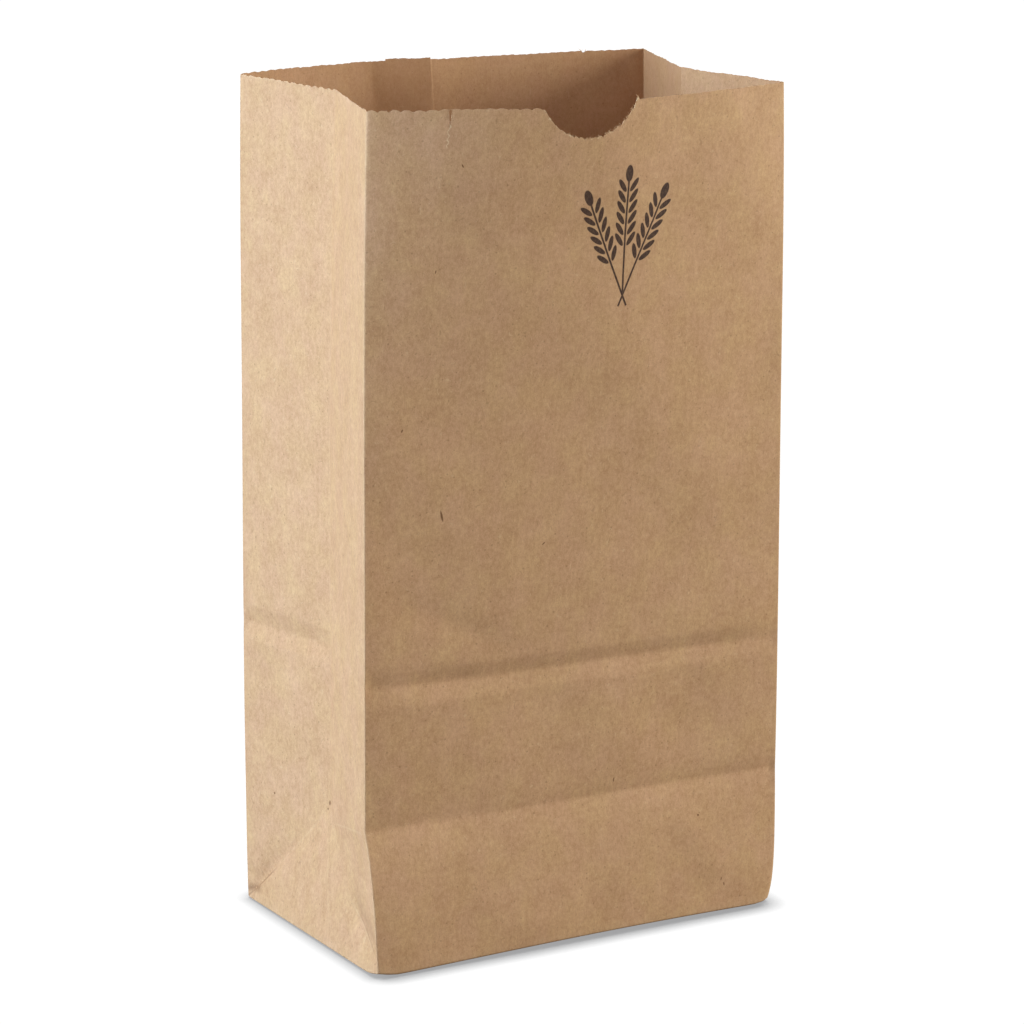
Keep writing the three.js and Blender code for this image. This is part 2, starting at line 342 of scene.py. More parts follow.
@dataclass(frozen=True)
class Crease:
    """A straight crease in the flat sheet.

    Attributes:
        start: Its first end, as u and z.
        end: Its other end.
        height: How far it stands out, or less than nothing where it is dented.
        left: How far it reaches to the left of its way from start to end.
        right: How far it reaches to the right.
        power: 1 for flat sides, and more for sides that ease out.
        blunt: How far its edge is rounded.
        fade: Share of its length over which each end dies out.
    """

    start: FlatPoint
    end: FlatPoint
    height: float
    left: float
    right: float
    power: float = 2.0
    blunt: float = 0.3 * MM
    fade: float = 0.25

    def at(self, u: np.ndarray, z: np.ndarray) -> np.ndarray:
        """Gives how far the crease moves the sheet out.

        Args:
            u: Places round the bag.
            z: Heights.

        Returns:
            The move at each point.
        """
        run = np.subtract(self.end, self.start)
        length = float(np.hypot(*run))
        along = ((u - self.start[0]) * run[0] + (z - self.start[1]) * run[1]) / length**2
        aside = ((z - self.start[1]) * run[0] - (u - self.start[0]) * run[1]) / length
        reach = np.where(aside > 0, self.left, self.right)
        away = np.sqrt(aside**2 + self.blunt**2) - self.blunt
        ends = eased(along / self.fade) * eased((1.0 - along) / self.fade)
        return self.height * np.maximum(0.0, 1.0 - away / reach) ** self.power * ends


class FoldedSheet:
    """The middle of the folded paper over its flat layout."""

    FOLD_SOFTNESS = 0.6 * MM
    CORNER_SOFTNESS = 1.5 * MM
    CORNER_FADE = 6.0 * MM
    CRUSHED_SOFTNESS = 9.0 * MM
    CRUSHED_FADE = 5.0 * MM
    CRUSHED_REACH = 14.0 * MM
    LIFT_REACH = 3.6 * MM
    LIFT_FADE = 4.0 * MM
    RIGHT_LIFT_SHARE = 0.6
    FRONT_LIFT_FROM_RIGHT = 46.0 * MM
    FRONT_LIFT_REACH = 64.0 * MM
    ROW_SOFTNESS = 0.8 * MM
    KERNEL_STEPS = 7
    STIFF_REACH = 7.0 * MM
    STIFF_FOOT = 9.0 * MM
    CREASE_FOOT = 4.0 * MM
    CREASE_MARGIN = 0.5 * MM
    CREASE_EASE = 2.5 * MM
    WORN_REACH = 16.0 * MM
    WORN_FOOT = 20.0 * MM
    WORN_TOP = 110.0 * MM
    WORN_FADE = 60.0 * MM
    TEAR_PARTING = 0.14 * MM
    TEAR_REACH = 1.6 * MM
    TEAR_MARGIN = 1.0 * MM

    def __init__(self, sizes: BagSizes) -> None:
        """Sets up the sheet's folds and creases.

        Args:
            sizes: The bag's driving sizes.
        """
        self.sizes = sizes
        self.creases = self._creases()
        self.waves = (
            Ripples(height=0.20 * MM, shortest=28 * MM, longest=75 * MM, seed=11),
            Ripples(height=0.035 * MM, shortest=7 * MM, longest=18 * MM, seed=23, count=30),
        )
        self.crumple = Ripples(height=0.11 * MM, shortest=6 * MM, longest=15 * MM, seed=5, count=24)
        reach = np.linspace(-1.0, 1.0, self.KERNEL_STEPS + 2)[1:-1]
        weight = 1.0 + np.cos(math.pi * reach)
        self.kernel = tuple(zip(reach, weight / weight.sum()))

    def _creases(self) -> tuple[Crease, ...]:
        """Lists the creases that folding flat and handling have left.

        Returns:
            The creases.
        """
        s = self.sizes
        right, rear, left, end = s.panel_width, s.back_start, s.left_start, s.girth
        fold, press = s.fold_height, s.gusset_width - 1.2 * MM
        rear_press = s.gusset_width + 1.3 * MM
        left_tip, right_tip = s.left_crease, s.right_crease
        lap = s.seam_edges[0]
        bulge = s.seam_edges[1] + 4 * MM
        mm = MM
        base_fold = (
            Crease((30 * mm, fold), (right + 30 * mm, fold), -0.2 * mm, 5 * mm, 8 * mm),
            Crease((50 * mm, fold), (right + 40 * mm, fold), -0.38 * mm, 8 * mm, 14 * mm, fade=0.38),
        )
        press_marks = (
            Crease((-4 * mm, press), (right + 12 * mm, press), -0.78 * mm, 3.8 * mm, 4.4 * mm, 1.1),
            Crease((-16 * mm, press + 2 * mm), (36 * mm, press), -0.55 * mm, 5 * mm, 5.5 * mm, 1.2),
        ) + tuple(
            Crease((first, rear_press), (last, rear_press), -1.15 * mm, 4.6 * mm, 4.2 * mm, 1.1)
            for first, last in ((left - 8 * mm, left_tip + 4 * mm), (right_tip - 4 * mm, rear + 8 * mm))
        )
        left_corner = (
            Crease((left - 4 * mm, -3 * mm), (left_tip + 2 * mm, 35 * mm), -0.25 * mm, 5 * mm, 1.6 * mm),
            Crease((left - 7 * mm, -6 * mm), (left + 16 * mm, 14.5 * mm), -0.35 * mm, 2.4 * mm, 1.2 * mm),
            Crease((left - 5 * mm, 9 * mm), (left + 7 * mm, 5.5 * mm), -0.5 * mm, 3 * mm, 4 * mm, 1.5),
            Crease((left_tip, 33 * mm), (end + 9 * mm, 37 * mm), 0.3 * mm, 6 * mm, 4 * mm, 1.5),
            Crease((left_tip - 4 * mm, 37 * mm), (376 * mm, 9 * mm), 0.3 * mm, 7 * mm, 3 * mm, 1.5),
            Crease((left_tip - 1 * mm, 36 * mm), (362 * mm, 1 * mm), 0.16 * mm, 3 * mm, 3 * mm, 1.3),
            Crease((365 * mm, 15 * mm), (end + 8 * mm, 3 * mm), -0.7 * mm, 9 * mm, 4 * mm, 1.3),
        )
        handling = (
            Crease((361 * mm, 79 * mm), (end + 6 * mm, 71 * mm), -0.22 * mm, 4 * mm, 5 * mm),
            Crease((left_tip + 1 * mm, 92 * mm), (left_tip + 9 * mm, 62 * mm), 0.2 * mm, 5 * mm, 4 * mm),
            Crease((2 * mm, 99 * mm), (46 * mm, 78 * mm), -0.55 * mm, 7 * mm, 9 * mm, fade=0.4),
            Crease((88 * mm, 31 * mm), (107 * mm, 7 * mm), 0.34 * mm, 5 * mm, 8 * mm, fade=0.3),
        )
        lap_bends = (
            Crease((lap, 110 * mm), (lap, s.height + 40 * mm), -0.9 * mm, 12 * mm, 10 * mm, 1.3, fade=0.4),
            Crease((bulge, 110 * mm), (bulge, s.height + 40 * mm), 1.6 * mm, 14 * mm, 34 * mm, fade=0.4),
        )
        return base_fold + press_marks + left_corner + handling + lap_bends

    def marks(self, z: np.ndarray) -> np.ndarray:
        """Gives where the fold lines lie along u.

        Args:
            z: Heights.

        Returns:
            Nine places for each height, from the front left fold round to itself.
        """
        s = self.sizes
        tip = s.half_gusset * clipped(z / s.apex_height)
        start = np.zeros_like(z)
        right = start + s.panel_width
        rear = start + s.back_start
        left = start + s.left_start
        end = start + s.girth
        folds = [start, right, right + tip, rear - tip, rear, left, left + tip, end - tip, end]
        return np.stack(folds, axis=-1)

    def _tuck(self, z: np.ndarray) -> np.ndarray:
        """Gives how far the side creases are pulled in at each height.

        Args:
            z: Heights.

        Returns:
            The pull at each height.
        """
        s = self.sizes
        above = mix(s.apex_tuck, s.mouth_tuck, (z - s.apex_height) / (s.height - s.apex_height))
        return np.where(z < s.apex_height, s.apex_tuck * z / s.apex_height, above)

    def _bow(self, z: np.ndarray) -> np.ndarray:
        """Gives the share of a panel's full belly at each height."""
        s = self.sizes
        return np.maximum(0.0, (z - s.gusset_width) / (s.height - s.gusset_width)) ** s.bow_ease

    def _half_chord(self, bow: np.ndarray) -> np.ndarray:
        """Gives half of a bowed panel's chord, for paper that keeps its width."""
        return self.sizes.half_width - (4 / 3) * bow**2 / self.sizes.panel_width

    def lines(self, z: np.ndarray) -> np.ndarray:
        """Gives the fold lines in plan.

        Args:
            z: Heights.

        Returns:
            Nine points in X and Y for each height, in the order of marks.
        """
        s = self.sizes
        low = clipped(z / s.fold_height)
        high = np.maximum(0.0, (z - s.fold_height) / (s.height - s.fold_height))
        opened = np.sqrt(s.half_gusset**2 - self._tuck(np.maximum(z, s.fold_height)) ** 2)
        half_depth = mix(s.half_gusset, opened, low)
        middle = (s.half_gusset - half_depth) * low * (1.0 - high)
        back = middle + half_depth
        front_right = middle - half_depth
        released = np.maximum(0.0, 1.0 - high) ** s.set_in_release
        front_left = front_right + s.fold_set_in * low**s.set_in_ease * released
        front_half = self._half_chord(s.front_bow * self._bow(z))
        back_half = self._half_chord(s.back_bow * self._bow(z))
        crease = (front_half + back_half) / 2 - self._tuck(z)
        to_tip = clipped(z / s.apex_height)
        late = s.side_turn_growth * eased((z - s.apex_height) / s.side_turn_reach)
        corners = [
            (-front_half, front_left, low),
            (front_half - s.foot_set_in * (1.0 - low), front_right, late),
            (crease, mix(front_right, middle, to_tip), late),
            (crease, mix(back, middle, to_tip), late),
            (back_half, back, late),
            (-back_half, back, late),
            (-crease, mix(back, middle, to_tip), late),
            (-crease, mix(front_left, middle, to_tip), low),
        ]
        turned = []
        for x, y, turn in [*corners, corners[0]]:
            turned_x = x + y * turn * math.tan(s.side_turn)
            turned_y = y - x * high * math.tan(s.panel_turn)
            turned.append(np.stack([turned_x, turned_y], axis=-1))
        return np.stack(turned, axis=-2)

    def plan(self, u: np.ndarray, z: np.ndarray) -> tuple[np.ndarray, np.ndarray]:
        """Gives the sheet in plan with its folds still sharp.

        Args:
            u: Places round the bag.
            z: Heights.

        Returns:
            The points in X and Y, and the outward direction of the panel at each.
        """
        s = self.sizes
        z = np.maximum(z, 0.0)
        u = np.mod(u, s.girth)
        marks, lines = self.marks(z), self.lines(z)
        panel = (u[:, None] >= marks[:, 1:-1]).sum(axis=1)
        rank = np.arange(len(u))
        start, end = marks[rank, panel], marks[rank, panel + 1]
        share = clipped((u - start) / np.maximum(end - start, TINY))
        first, along = lines[rank, panel], lines[rank, panel + 1] - lines[rank, panel]
        outward = np.stack([along[:, 1], -along[:, 0]], axis=1)
        outward /= np.maximum(np.linalg.norm(outward, axis=1, keepdims=True), TINY)
        bow = np.select([panel == Panel.FRONT, panel == Panel.BACK], [s.front_bow, s.back_bow], 0.0)
        peak = np.where(panel == Panel.FRONT, s.front_bow_peak, s.back_bow_peak)
        power = math.log(0.5) / np.log(peak)
        belly = bow * self._bow(z) * np.sin(math.pi * share**power)
        return first + along * share[:, None] + outward * belly[:, None], outward

    def relief(self, u: np.ndarray, z: np.ndarray) -> np.ndarray:
        """Gives how far waves and creases move the sheet out.

        Args:
            u: Places round the bag.
            z: Heights.

        Returns:
            The move at each point.
        """
        s = self.sizes
        z = np.maximum(z, 0.0)
        to_fold = np.abs(u[:, None] - self.marks(z)).min(axis=1)
        loose = eased(to_fold / self.STIFF_REACH) * eased(z / self.STIFF_FOOT)
        total = loose * sum(wave.at(u, z) for wave in self.waves)
        creased = eased((self.to_side(u) + self.CREASE_MARGIN) / self.CREASE_EASE)
        creased *= eased(z / self.CREASE_FOOT)
        total += creased * sum(crease.at(u, z) for crease in self.creases)
        worn = hump(u - s.left_crease, self.WORN_REACH)
        worn *= eased(z / self.WORN_FOOT) * eased((self.WORN_TOP - z) / self.WORN_FADE)
        total += worn * eased(to_fold / self.CREASE_EASE) * self.crumple.at(u, z)
        from_tear = u - s.tear_from_left
        in_tear = eased((z - (s.height - s.tear_depth - self.TEAR_MARGIN)) / s.tear_depth)
        parted = self.TEAR_PARTING * np.sign(from_tear) * np.exp(-np.abs(from_tear) / self.TEAR_REACH)
        return total + parted * in_tear

    def to_side(self, u: np.ndarray) -> np.ndarray:
        """Gives how far places are from the nearest of the four upright folds."""
        return np.abs(u[:, None] - np.array(self.sizes.upright_folds)).min(axis=1)

    def edge_radius(self, u: np.ndarray) -> np.ndarray:
        """Gives the radius of the fold between the base and the front or back, tighter at the corners.

        Args:
            u: Places round the bag.

        Returns:
            The radius at each place.
        """
        s = self.sizes
        on_panel = (u < s.panel_width) | ((u > s.back_start) & (u < s.left_start))
        share = np.where(on_panel, eased(self.to_side(u) / s.corner_edge_reach), 0.0)
        return mix(s.corner_edge_radius, s.long_edge_radius, share)

    def _inset(self, radius: np.ndarray, z: np.ndarray) -> np.ndarray:
        """Gives how far a wall has turned in over its fold with the base."""
        below = np.clip(radius - (z - self.sizes.foot), 0.0, radius)
        return radius - np.sqrt(radius**2 - below**2)

    def _softness(self, u: np.ndarray, z: np.ndarray) -> np.ndarray:
        """Gives how far the folds are rounded: more near the base, and most at the crushed right corner.

        Args:
            u: Places round the bag.
            z: Heights.

        Returns:
            The rounding along u at each point.
        """
        from_right = (u - self.sizes.panel_width) / self.CRUSHED_REACH
        crushed = self.CRUSHED_SOFTNESS * np.exp(-(from_right**2) - z / self.CRUSHED_FADE)
        return self.FOLD_SOFTNESS + self.CORNER_SOFTNESS * np.exp(-z / self.CORNER_FADE) + crushed

    def floor_lift(self, x: np.ndarray, y: np.ndarray) -> np.ndarray:
        """Gives how far the base is off the floor: along its front edge, and most at the two corners there.

        Args:
            x: Places across the base.
            y: Places along its depth.

        Returns:
            The lift at each place.
        """
        s = self.sizes
        from_left = np.hypot(x + s.half_width, y + s.half_gusset)
        from_right = np.hypot(x - s.half_width, y + s.half_gusset)
        from_middle = np.hypot(x - s.half_width + self.FRONT_LIFT_FROM_RIGHT, y + s.half_gusset)
        corners = hump(from_left, self.LIFT_REACH)
        corners += self.RIGHT_LIFT_SHARE * hump(from_right, self.LIFT_REACH)
        return s.corner_lift * corners + s.front_lift * hump(from_middle, self.FRONT_LIFT_REACH)

    def _raised(self, flat: np.ndarray, z: np.ndarray) -> np.ndarray:
        """Gives heights over the floor: the foot is drawn out, and lifts where the base does.

        Args:
            flat: Points in X and Y.
            z: Their heights up the sheet.

        Returns:
            Their heights over the floor.
        """
        s = self.sizes
        drawn = s.foot_stretch * clipped(z / s.foot_stretch_reach)
        return z + drawn + self.floor_lift(flat[:, 0], flat[:, 1]) * np.exp(-z / self.LIFT_FADE)

    def middle(self, u: np.ndarray, z: np.ndarray) -> np.ndarray:
        """Gives points of the folded sheet, with its folds rounded and its relief.

        Args:
            u: Places round the bag.
            z: Heights.

        Returns:
            The points in X, Y and Z.
        """
        s = self.sizes
        soft = self._softness(u, z)
        flat = np.zeros((len(u), 2))
        for du, u_weight in self.kernel:
            for dz, z_weight in self.kernel:
                point, _ = self.plan(u + du * soft, z + dz * self.ROW_SOFTNESS)
                flat += u_weight * z_weight * point
        _, outward = self.plan(u, z)
        flat += outward * self.relief(u, z)[:, None]
        flat[:, 0] *= 1.0 - self._inset(np.full_like(z, s.short_edge_radius), z) / s.half_width
        flat[:, 1] *= 1.0 - self._inset(self.edge_radius(u), z) / s.half_gusset
        return np.column_stack([flat, self._raised(flat, z)])


class Rim:
    """The cut edge of the mouth: saw teeth, the thumb notch, the tear and the lap's step."""

    SPACING = 0.36 * MM
    NOTCH_SPACING = 0.17 * MM
    NOTCH_REACH = 0.54
    NICK_REACH = 0.5 * MM
    LIP_REACH = 9.0 * MM
    SPIKE_REACH = 0.35 * MM
    TORN_LIP = 0.02 * MM

    def __init__(self, sheet: FoldedSheet) -> None:
        """Keeps the sheet that is cut.

        Args:
            sheet: The folded sheet.
        """
        self.sheet = sheet
        self.rough = Ripples(height=0.035 * MM, shortest=0.5 * MM, longest=2.2 * MM, seed=31, count=26)
        self.sway = Ripples(height=0.05 * MM, shortest=6 * MM, longest=22 * MM, seed=37, count=14)
        self.ragged = Ripples(height=0.22 * MM, shortest=0.4 * MM, longest=2.0 * MM, seed=41, count=30)

    def columns(self) -> np.ndarray:
        """Gives the places along u where the rim has a point.

        Returns:
            The places in order.
        """
        s = self.sheet.sizes
        fine = np.linspace(-1.0, 1.0, int(s.notch_width / self.NOTCH_SPACING))
        notch = s.notch_middle + self.NOTCH_REACH * s.notch_width * fine
        even = np.arange(0.0, s.girth - self.SPACING / 2, self.SPACING)
        even = even[(even < notch[0] - TINY) | (even > notch[-1] + TINY)]
        tear = s.tear_from_left + s.tear_width * np.array([-0.5, 0.0, 0.5])
        special = np.concatenate([tear, s.seam_steps])
        clear = np.abs(even[:, None] - special).min(axis=1) > self.SPACING
        return np.sort(np.concatenate([even[clear], notch, special]))

    def _teeth(self, u: np.ndarray) -> np.ndarray:
        """Gives the drop of the saw teeth, which are worn flat in places.

        Args:
            u: Places round the bag.

        Returns:
            The drop at each place.
        """
        s = self.sheet.sizes
        notch_end = s.notch_middle + s.notch_width / 2
        kept_depth = {
            0.0: 1.25,
            notch_end - s.notch_width: 1.0,
            notch_end: 0.25,
            s.panel_width: 0.2,
            s.back_start: 0.25,
            s.back_start + 75 * MM: 0.25,
            s.left_start: 0.6,
            s.left_start + 2 * MM: 1.0,
            s.left_crease: 1.0,
            s.left_crease + 4 * MM: 0.35,
            s.girth: 0.4,
        }
        strength = np.interp(u, list(kept_depth), list(kept_depth.values()))
        turn = math.pi * u / s.tooth_pitch + 0.5 * np.sin(u / (9 * MM)) + 0.3 * np.sin(u / (3.7 * MM))
        depth = s.tooth_depth * strength * (0.85 + 0.3 * np.sin(u / (5.3 * MM)))
        return depth * tooth(turn)

    def _notched(self, u: np.ndarray, edge: np.ndarray, level: np.ndarray) -> np.ndarray:
        """Cuts the thumb notch into the edge.

        Args:
            u: Places round the bag.
            edge: Height of the edge before the cut.
            level: Height that the notch's depth is taken from.

        Returns:
            The height after the cut, with a rounded left lip and a ragged right side.
        """
        s = self.sheet.sizes
        to_right = eased((u - s.notch_middle) / s.notch_width + 0.6)
        cut = np.sqrt(np.maximum(0.0, s.notch_radius**2 - (u - s.notch_middle) ** 2))
        torn = self.ragged.at(u, np.zeros_like(u)) * mix(0.2, 1.0, to_right)
        arc = level - cut + s.notch_radius - s.notch_depth + torn
        lip = mix(s.notch_lip, self.TORN_LIP, eased(2 * to_right))
        return np.minimum(edge, arc) - lip * np.log1p(np.exp(-np.abs(edge - arc) / lip))

    def heights(self, u: np.ndarray) -> np.ndarray:
        """Gives the height of the cut edge.

        Args:
            u: Places round the bag.

        Returns:
            The height of the rim at each place.
        """
        s = self.sheet.sizes
        plan, _ = self.sheet.plan(u, np.full_like(u, s.height))
        inner, outer = s.seam_edges
        lapped = clipped((u - inner) / s.seam_step) * clipped((outer + s.seam_step - u) / s.seam_step)
        level = s.height + s.back_lip * plan[:, 1] / s.gusset_width
        over_back = clipped((u - s.back_start) / s.panel_width)
        edge = level + s.seam_rise * lapped - s.back_sag * np.sin(math.pi * over_back) ** 2
        edge += self.rough.at(u, np.zeros_like(u)) + self.sway.at(u, np.zeros_like(u)) - self._teeth(u)
        edge -= s.back_nick * hump(u - s.back_start - s.back_nick_from_right, self.NICK_REACH)
        edge -= s.lip_drop * hump(u - (s.notch_middle - s.notch_width / 2), self.LIP_REACH)
        edge += s.lip_spike * hump(u - s.notch_middle - s.notch_width / 2, self.SPIKE_REACH)
        edge = self._notched(u, edge, level)
        in_tear = clipped(1.0 - np.abs(u - s.tear_from_left) / (s.tear_width / 2))
        return edge - s.tear_depth * in_tear


@dataclass
class Shelf:
    """Lays rectangles out in rows on the flat layout, for the flaps.

    Attributes:
        left: Where each row starts.
        right: Where a row is full.
        gap: Room between rectangles.
    """

    left: float
    right: float
    gap: float = 3 * MM
    _x: float = 0.0
    _y: float = 3 * MM
    _tall: float = 0.0

    def place(self, width: float, height: float) -> FlatPoint:
        """Finds room for a rectangle.

        Args:
            width: Its width.
            height: Its height.

        Returns:
            Its lower left corner on the layout.
        """
        x = max(self._x, self.left)
        if x + width > self.right:
            self._y += self._tall + self.gap
            x, self._tall = self.left, 0.0
        self._x = x + width + self.gap
        self._tall = max(self._tall, height)
        return x, self._y


@dataclass(frozen=True)
class Layout:
    """The flat layout: the sheet's outer face below, its inner face above, the flaps beside them."""

    span: float = 520 * MM
    outer: FlatPoint = (3 * MM, 6 * MM)
    inner: FlatPoint = (3 * MM, 244 * MM)
    flaps_from: float = 396 * MM

    def spot(self, origin: FlatPoint, u: float, v: float) -> FlatPoint:
        """Gives a point of the sheet as a place on the map, from 0 to 1."""
        return (origin[0] + u) / self.span, (origin[1] + v) / self.span


class MeshDraft:
    """Collects points and faces, with each corner's place on the flat layout."""

    def __init__(self) -> None:
        """Starts with nothing."""
        self.points: list[Sequence[float]] = []
        self.faces: list[Sequence[int]] = []
        self.places: list[FlatPoint] = []

    def add_points(self, points: np.ndarray) -> int:
        """Adds points.

        Args:
            points: Rows of X, Y and Z.

        Returns:
            The number of the first of them.
        """
        first = len(self.points)
        self.points.extend(points.tolist())
        return first

    def add_face(self, corners: Sequence[int], places: Sequence[FlatPoint]) -> None:
        """Adds a face by the numbers of its points and its corners' places on the layout."""
        self.faces.append(corners)
        self.places.extend(places)

    def build(self, name: str, sharp: float) -> bpy.types.Object:
        """Makes an object of what was collected.

        Args:
            name: The object's name.
            sharp: Angle past which an edge is drawn sharp.

        Returns:
            The new object, in the scene.
        """
        mesh = bpy.data.meshes.new(name)
        mesh.from_pydata(self.points, [], self.faces)
        layer = mesh.uv_layers.new(name=LAYOUT_MAP)
        layer.uv.foreach_set("vector", np.array(self.places, dtype=np.float32).ravel())
        made = finished(name, mesh, sharp)
        mesh.validate()
        return made


@dataclass(frozen=True)
class Loop:
    """One closed row of the wall.

    Attributes:
        u: Places round the bag.
        v: Places up the flat layout.
        girth: The way round the bag.
        outer: Number of its first point on the outer face.
        inner: Number of its first point on the inner face.
    """

    u: np.ndarray
    v: np.ndarray
    girth: float
    outer: int
    inner: int

    def corner(self, index: int) -> tuple[int, float, float]:
        """Gives a point's number in the loop, and its u and v, past the end too."""
        turn, at = divmod(index, len(self.u))
        return at, self.u[at] + turn * self.girth, self.v[at]


class BagWall:
    """The tube of the bag: both faces of the sheet, closed round its rim and its foot."""

    PANEL_STEPS = 42
    DIAGONAL_STEPS = 36
    FOLD_OFFSETS = (0.0, 0.2, 0.45, 0.8, 1.3, 2.1)
    FOOT_ROWS = 8
    STRIP_SHARES = (0.3, 0.6, 0.85, 1.0)
    STRIP_MARGIN = 5 * MM
    CLEARANCE = 0.3 * MM
    ROW_STOPS = (40 * MM, 66 * MM, 82 * MM, 100 * MM)
    ROW_STEPS = (0.55 * MM, 1.8 * MM, 0.6 * MM, 1.5 * MM, 3.4 * MM)
    SHARP = math.radians(50)

    def __init__(self, sheet: FoldedSheet, layout: Layout) -> None:
        """Keeps what the wall is made from.

        Args:
            sheet: The folded sheet.
            layout: Where its faces lie on the flat layout.
        """
        self.sheet = sheet
        self.rim = Rim(sheet)
        self.layout = layout
        self.draft = MeshDraft()

    def columns(self) -> np.ndarray:
        """Gives the places of the wall's columns, close together at the folds.

        On the sides they keep step with the rows, so that the diagonal folds run through the points.

        Returns:
            The places in order.
        """
        s = self.sheet.sizes
        stops = sorted([*s.upright_folds, s.right_crease, s.left_crease])
        offsets = np.array(self.FOLD_OFFSETS) * MM
        parts = []
        for start, end in zip(stops, stops[1:]):
            steps = self.DIAGONAL_STEPS if end - start < s.gusset_width else self.PANEL_STEPS
            even = np.linspace(start, end, steps + 1)
            inner = even[(even > start + offsets[-1]) & (even < end - offsets[-1])]
            parts += [start + offsets, inner, end - offsets[:0:-1]]
        columns = np.concatenate(parts)
        seams = np.array(s.seam_steps)
        clear = np.abs(columns[:, None] - seams).min(axis=1) > self.CLEARANCE
        return np.sort(np.concatenate([columns[clear], seams]))

    def rows(self) -> np.ndarray:
        """Gives the heights of the wall's rows up to the strip below the rim.

        Returns:
            The heights from the foot up.
        """
        s = self.sheet.sizes
        turn = np.linspace(math.pi / 2, 0.0, self.FOOT_ROWS)
        foot = s.foot + s.long_edge_radius * (1.0 - np.sin(turn))
        diagonal = np.linspace(0.0, s.apex_height, self.DIAGONAL_STEPS + 1)
        diagonal = diagonal[diagonal > foot[-1] + self.CLEARANCE]
        top = s.height - s.notch_depth - self.STRIP_MARGIN
        stops = (s.apex_height, *self.ROW_STOPS, top)
        upper = []
        for low, high, step in zip(stops, stops[1:], self.ROW_STEPS):
            upper.append(np.linspace(low, high, round((high - low) / step) + 1)[1:])
        return np.concatenate([foot, diagonal, *upper])

    def _offsets(self, u: np.ndarray) -> tuple[np.ndarray, np.ndarray]:
        """Gives how far the outer and inner faces lie from the middle of the paper, lap included.

        Args:
            u: Places round the bag.

        Returns:
            How far the outer face and the inner face lie from it.
        """
        s = self.sheet.sizes
        inner_edge, outer_edge = s.seam_edges
        past = clipped((u - outer_edge) / (s.left_start - outer_edge))
        shift = s.paper * (1.0 - past)
        outer = s.paper / 2 - shift * clipped((u - outer_edge) / s.seam_step)
        inner = -s.paper / 2 - shift * clipped((u - inner_edge) / s.seam_step)
        return outer, inner

    def _grid(self, u: np.ndarray, z: np.ndarray) -> list[Loop]:
        """Adds both faces of a grid of points.

        Args:
            u: Places of its columns.
            z: Heights, row by row.

        Returns:
            Its rows.
        """
        s = self.sheet.sizes
        across = np.broadcast_to(u, z.shape)
        points = self.sheet.middle(across.ravel(), z.ravel()).reshape(*z.shape, 3)
        sideways = np.roll(points, -1, axis=1) - np.roll(points, 1, axis=1)
        normal = np.cross(sideways, np.gradient(points, axis=0))
        normal /= np.linalg.norm(normal, axis=2, keepdims=True)
        outer, inner = self._offsets(u)
        loops = []
        for row, heights in enumerate(z):
            turned = clipped((s.foot + s.long_edge_radius - heights) / s.long_edge_radius)
            v = np.where(turned > 0, s.foot + s.long_edge_radius * (1.0 - np.arcsin(turned)), heights)
            first = self.draft.add_points(points[row] + normal[row] * outer[:, None])
            second = self.draft.add_points(points[row] + normal[row] * inner[:, None])
            loops.append(Loop(u, v, s.girth, first, second))
        return loops

    def _face(self, corners: Sequence[tuple[Loop, int]]) -> None:
        """Adds one face of the wall on both sides of the paper.

        Args:
            corners: Its corners, each a row and a place in it.
        """
        found = [(loop, *loop.corner(index)) for loop, index in corners]
        places = [self.layout.spot(self.layout.outer, u, v) for _, _, u, v in found]
        self.draft.add_face([loop.outer + at for loop, at, _, _ in found], places)
        places = [self.layout.spot(self.layout.inner, u, v) for _, _, u, v in reversed(found)]
        self.draft.add_face([loop.inner + at for loop, at, _, _ in reversed(found)], places)

    def _leans_left(self, u: float) -> bool:
        """Tells where the base's diagonal fold goes up to the left, so that faces are split along it.

        Args:
            u: A place round the bag.

        Returns:
            True where it does.
        """
        s = self.sheet.sizes
        on_right = s.right_crease <= u < s.back_start
        return on_right or u >= s.left_crease

    def _weave(self, loops: Sequence[Loop]) -> None:
        """Joins rows that have the same columns.

        Args:
            loops: The rows from the lowest up.
        """
        for low, high in zip(loops, loops[1:]):
            for i, u in enumerate(low.u.tolist()):
                corners = [(low, i), (low, i + 1), (high, i + 1), (high, i)]
                turn = 1 if self._leans_left(u + TINY) else 0
                self._face(corners[turn:] + corners[:turn])

    def _zip(self, low: Loop, high: Loop) -> None:
        """Joins two rows with different columns by triangles.

        Args:
            low: The lower row.
            high: The upper row.
        """
        i = j = 0
        while i < len(low.u) or j < len(high.u):
            below_first = low.corner(i + 1)[1] <= high.corner(j + 1)[1]
            if i < len(low.u) and (j == len(high.u) or below_first):
                self._face([(low, i), (low, i + 1), (high, j)])
                i += 1
            else:
                self._face([(low, i), (high, j + 1), (high, j)])
                j += 1

    def _close(self, loop: Loop, outward: float) -> None:
        """Closes the edge between the two faces.

        Args:
            loop: The row along the edge.
            outward: 1 at the rim, and -1 at the foot, where the edge faces the other way.
        """
        paper = self.sheet.sizes.paper
        for i in range(len(loop.u)):
            (a, u, v), (b, u_next, v_next) = loop.corner(i), loop.corner(i + 1)
            corners = [loop.outer + a, loop.outer + b, loop.inner + b, loop.inner + a]
            flat = [(u, v), (u_next, v_next), (u_next, v_next + outward * paper), (u, v + outward * paper)]
            places = [self.layout.spot(self.layout.outer, *place) for place in flat]
            step = 1 if outward > 0 else -1
            self.draft.add_face(corners[::step], places[::step])

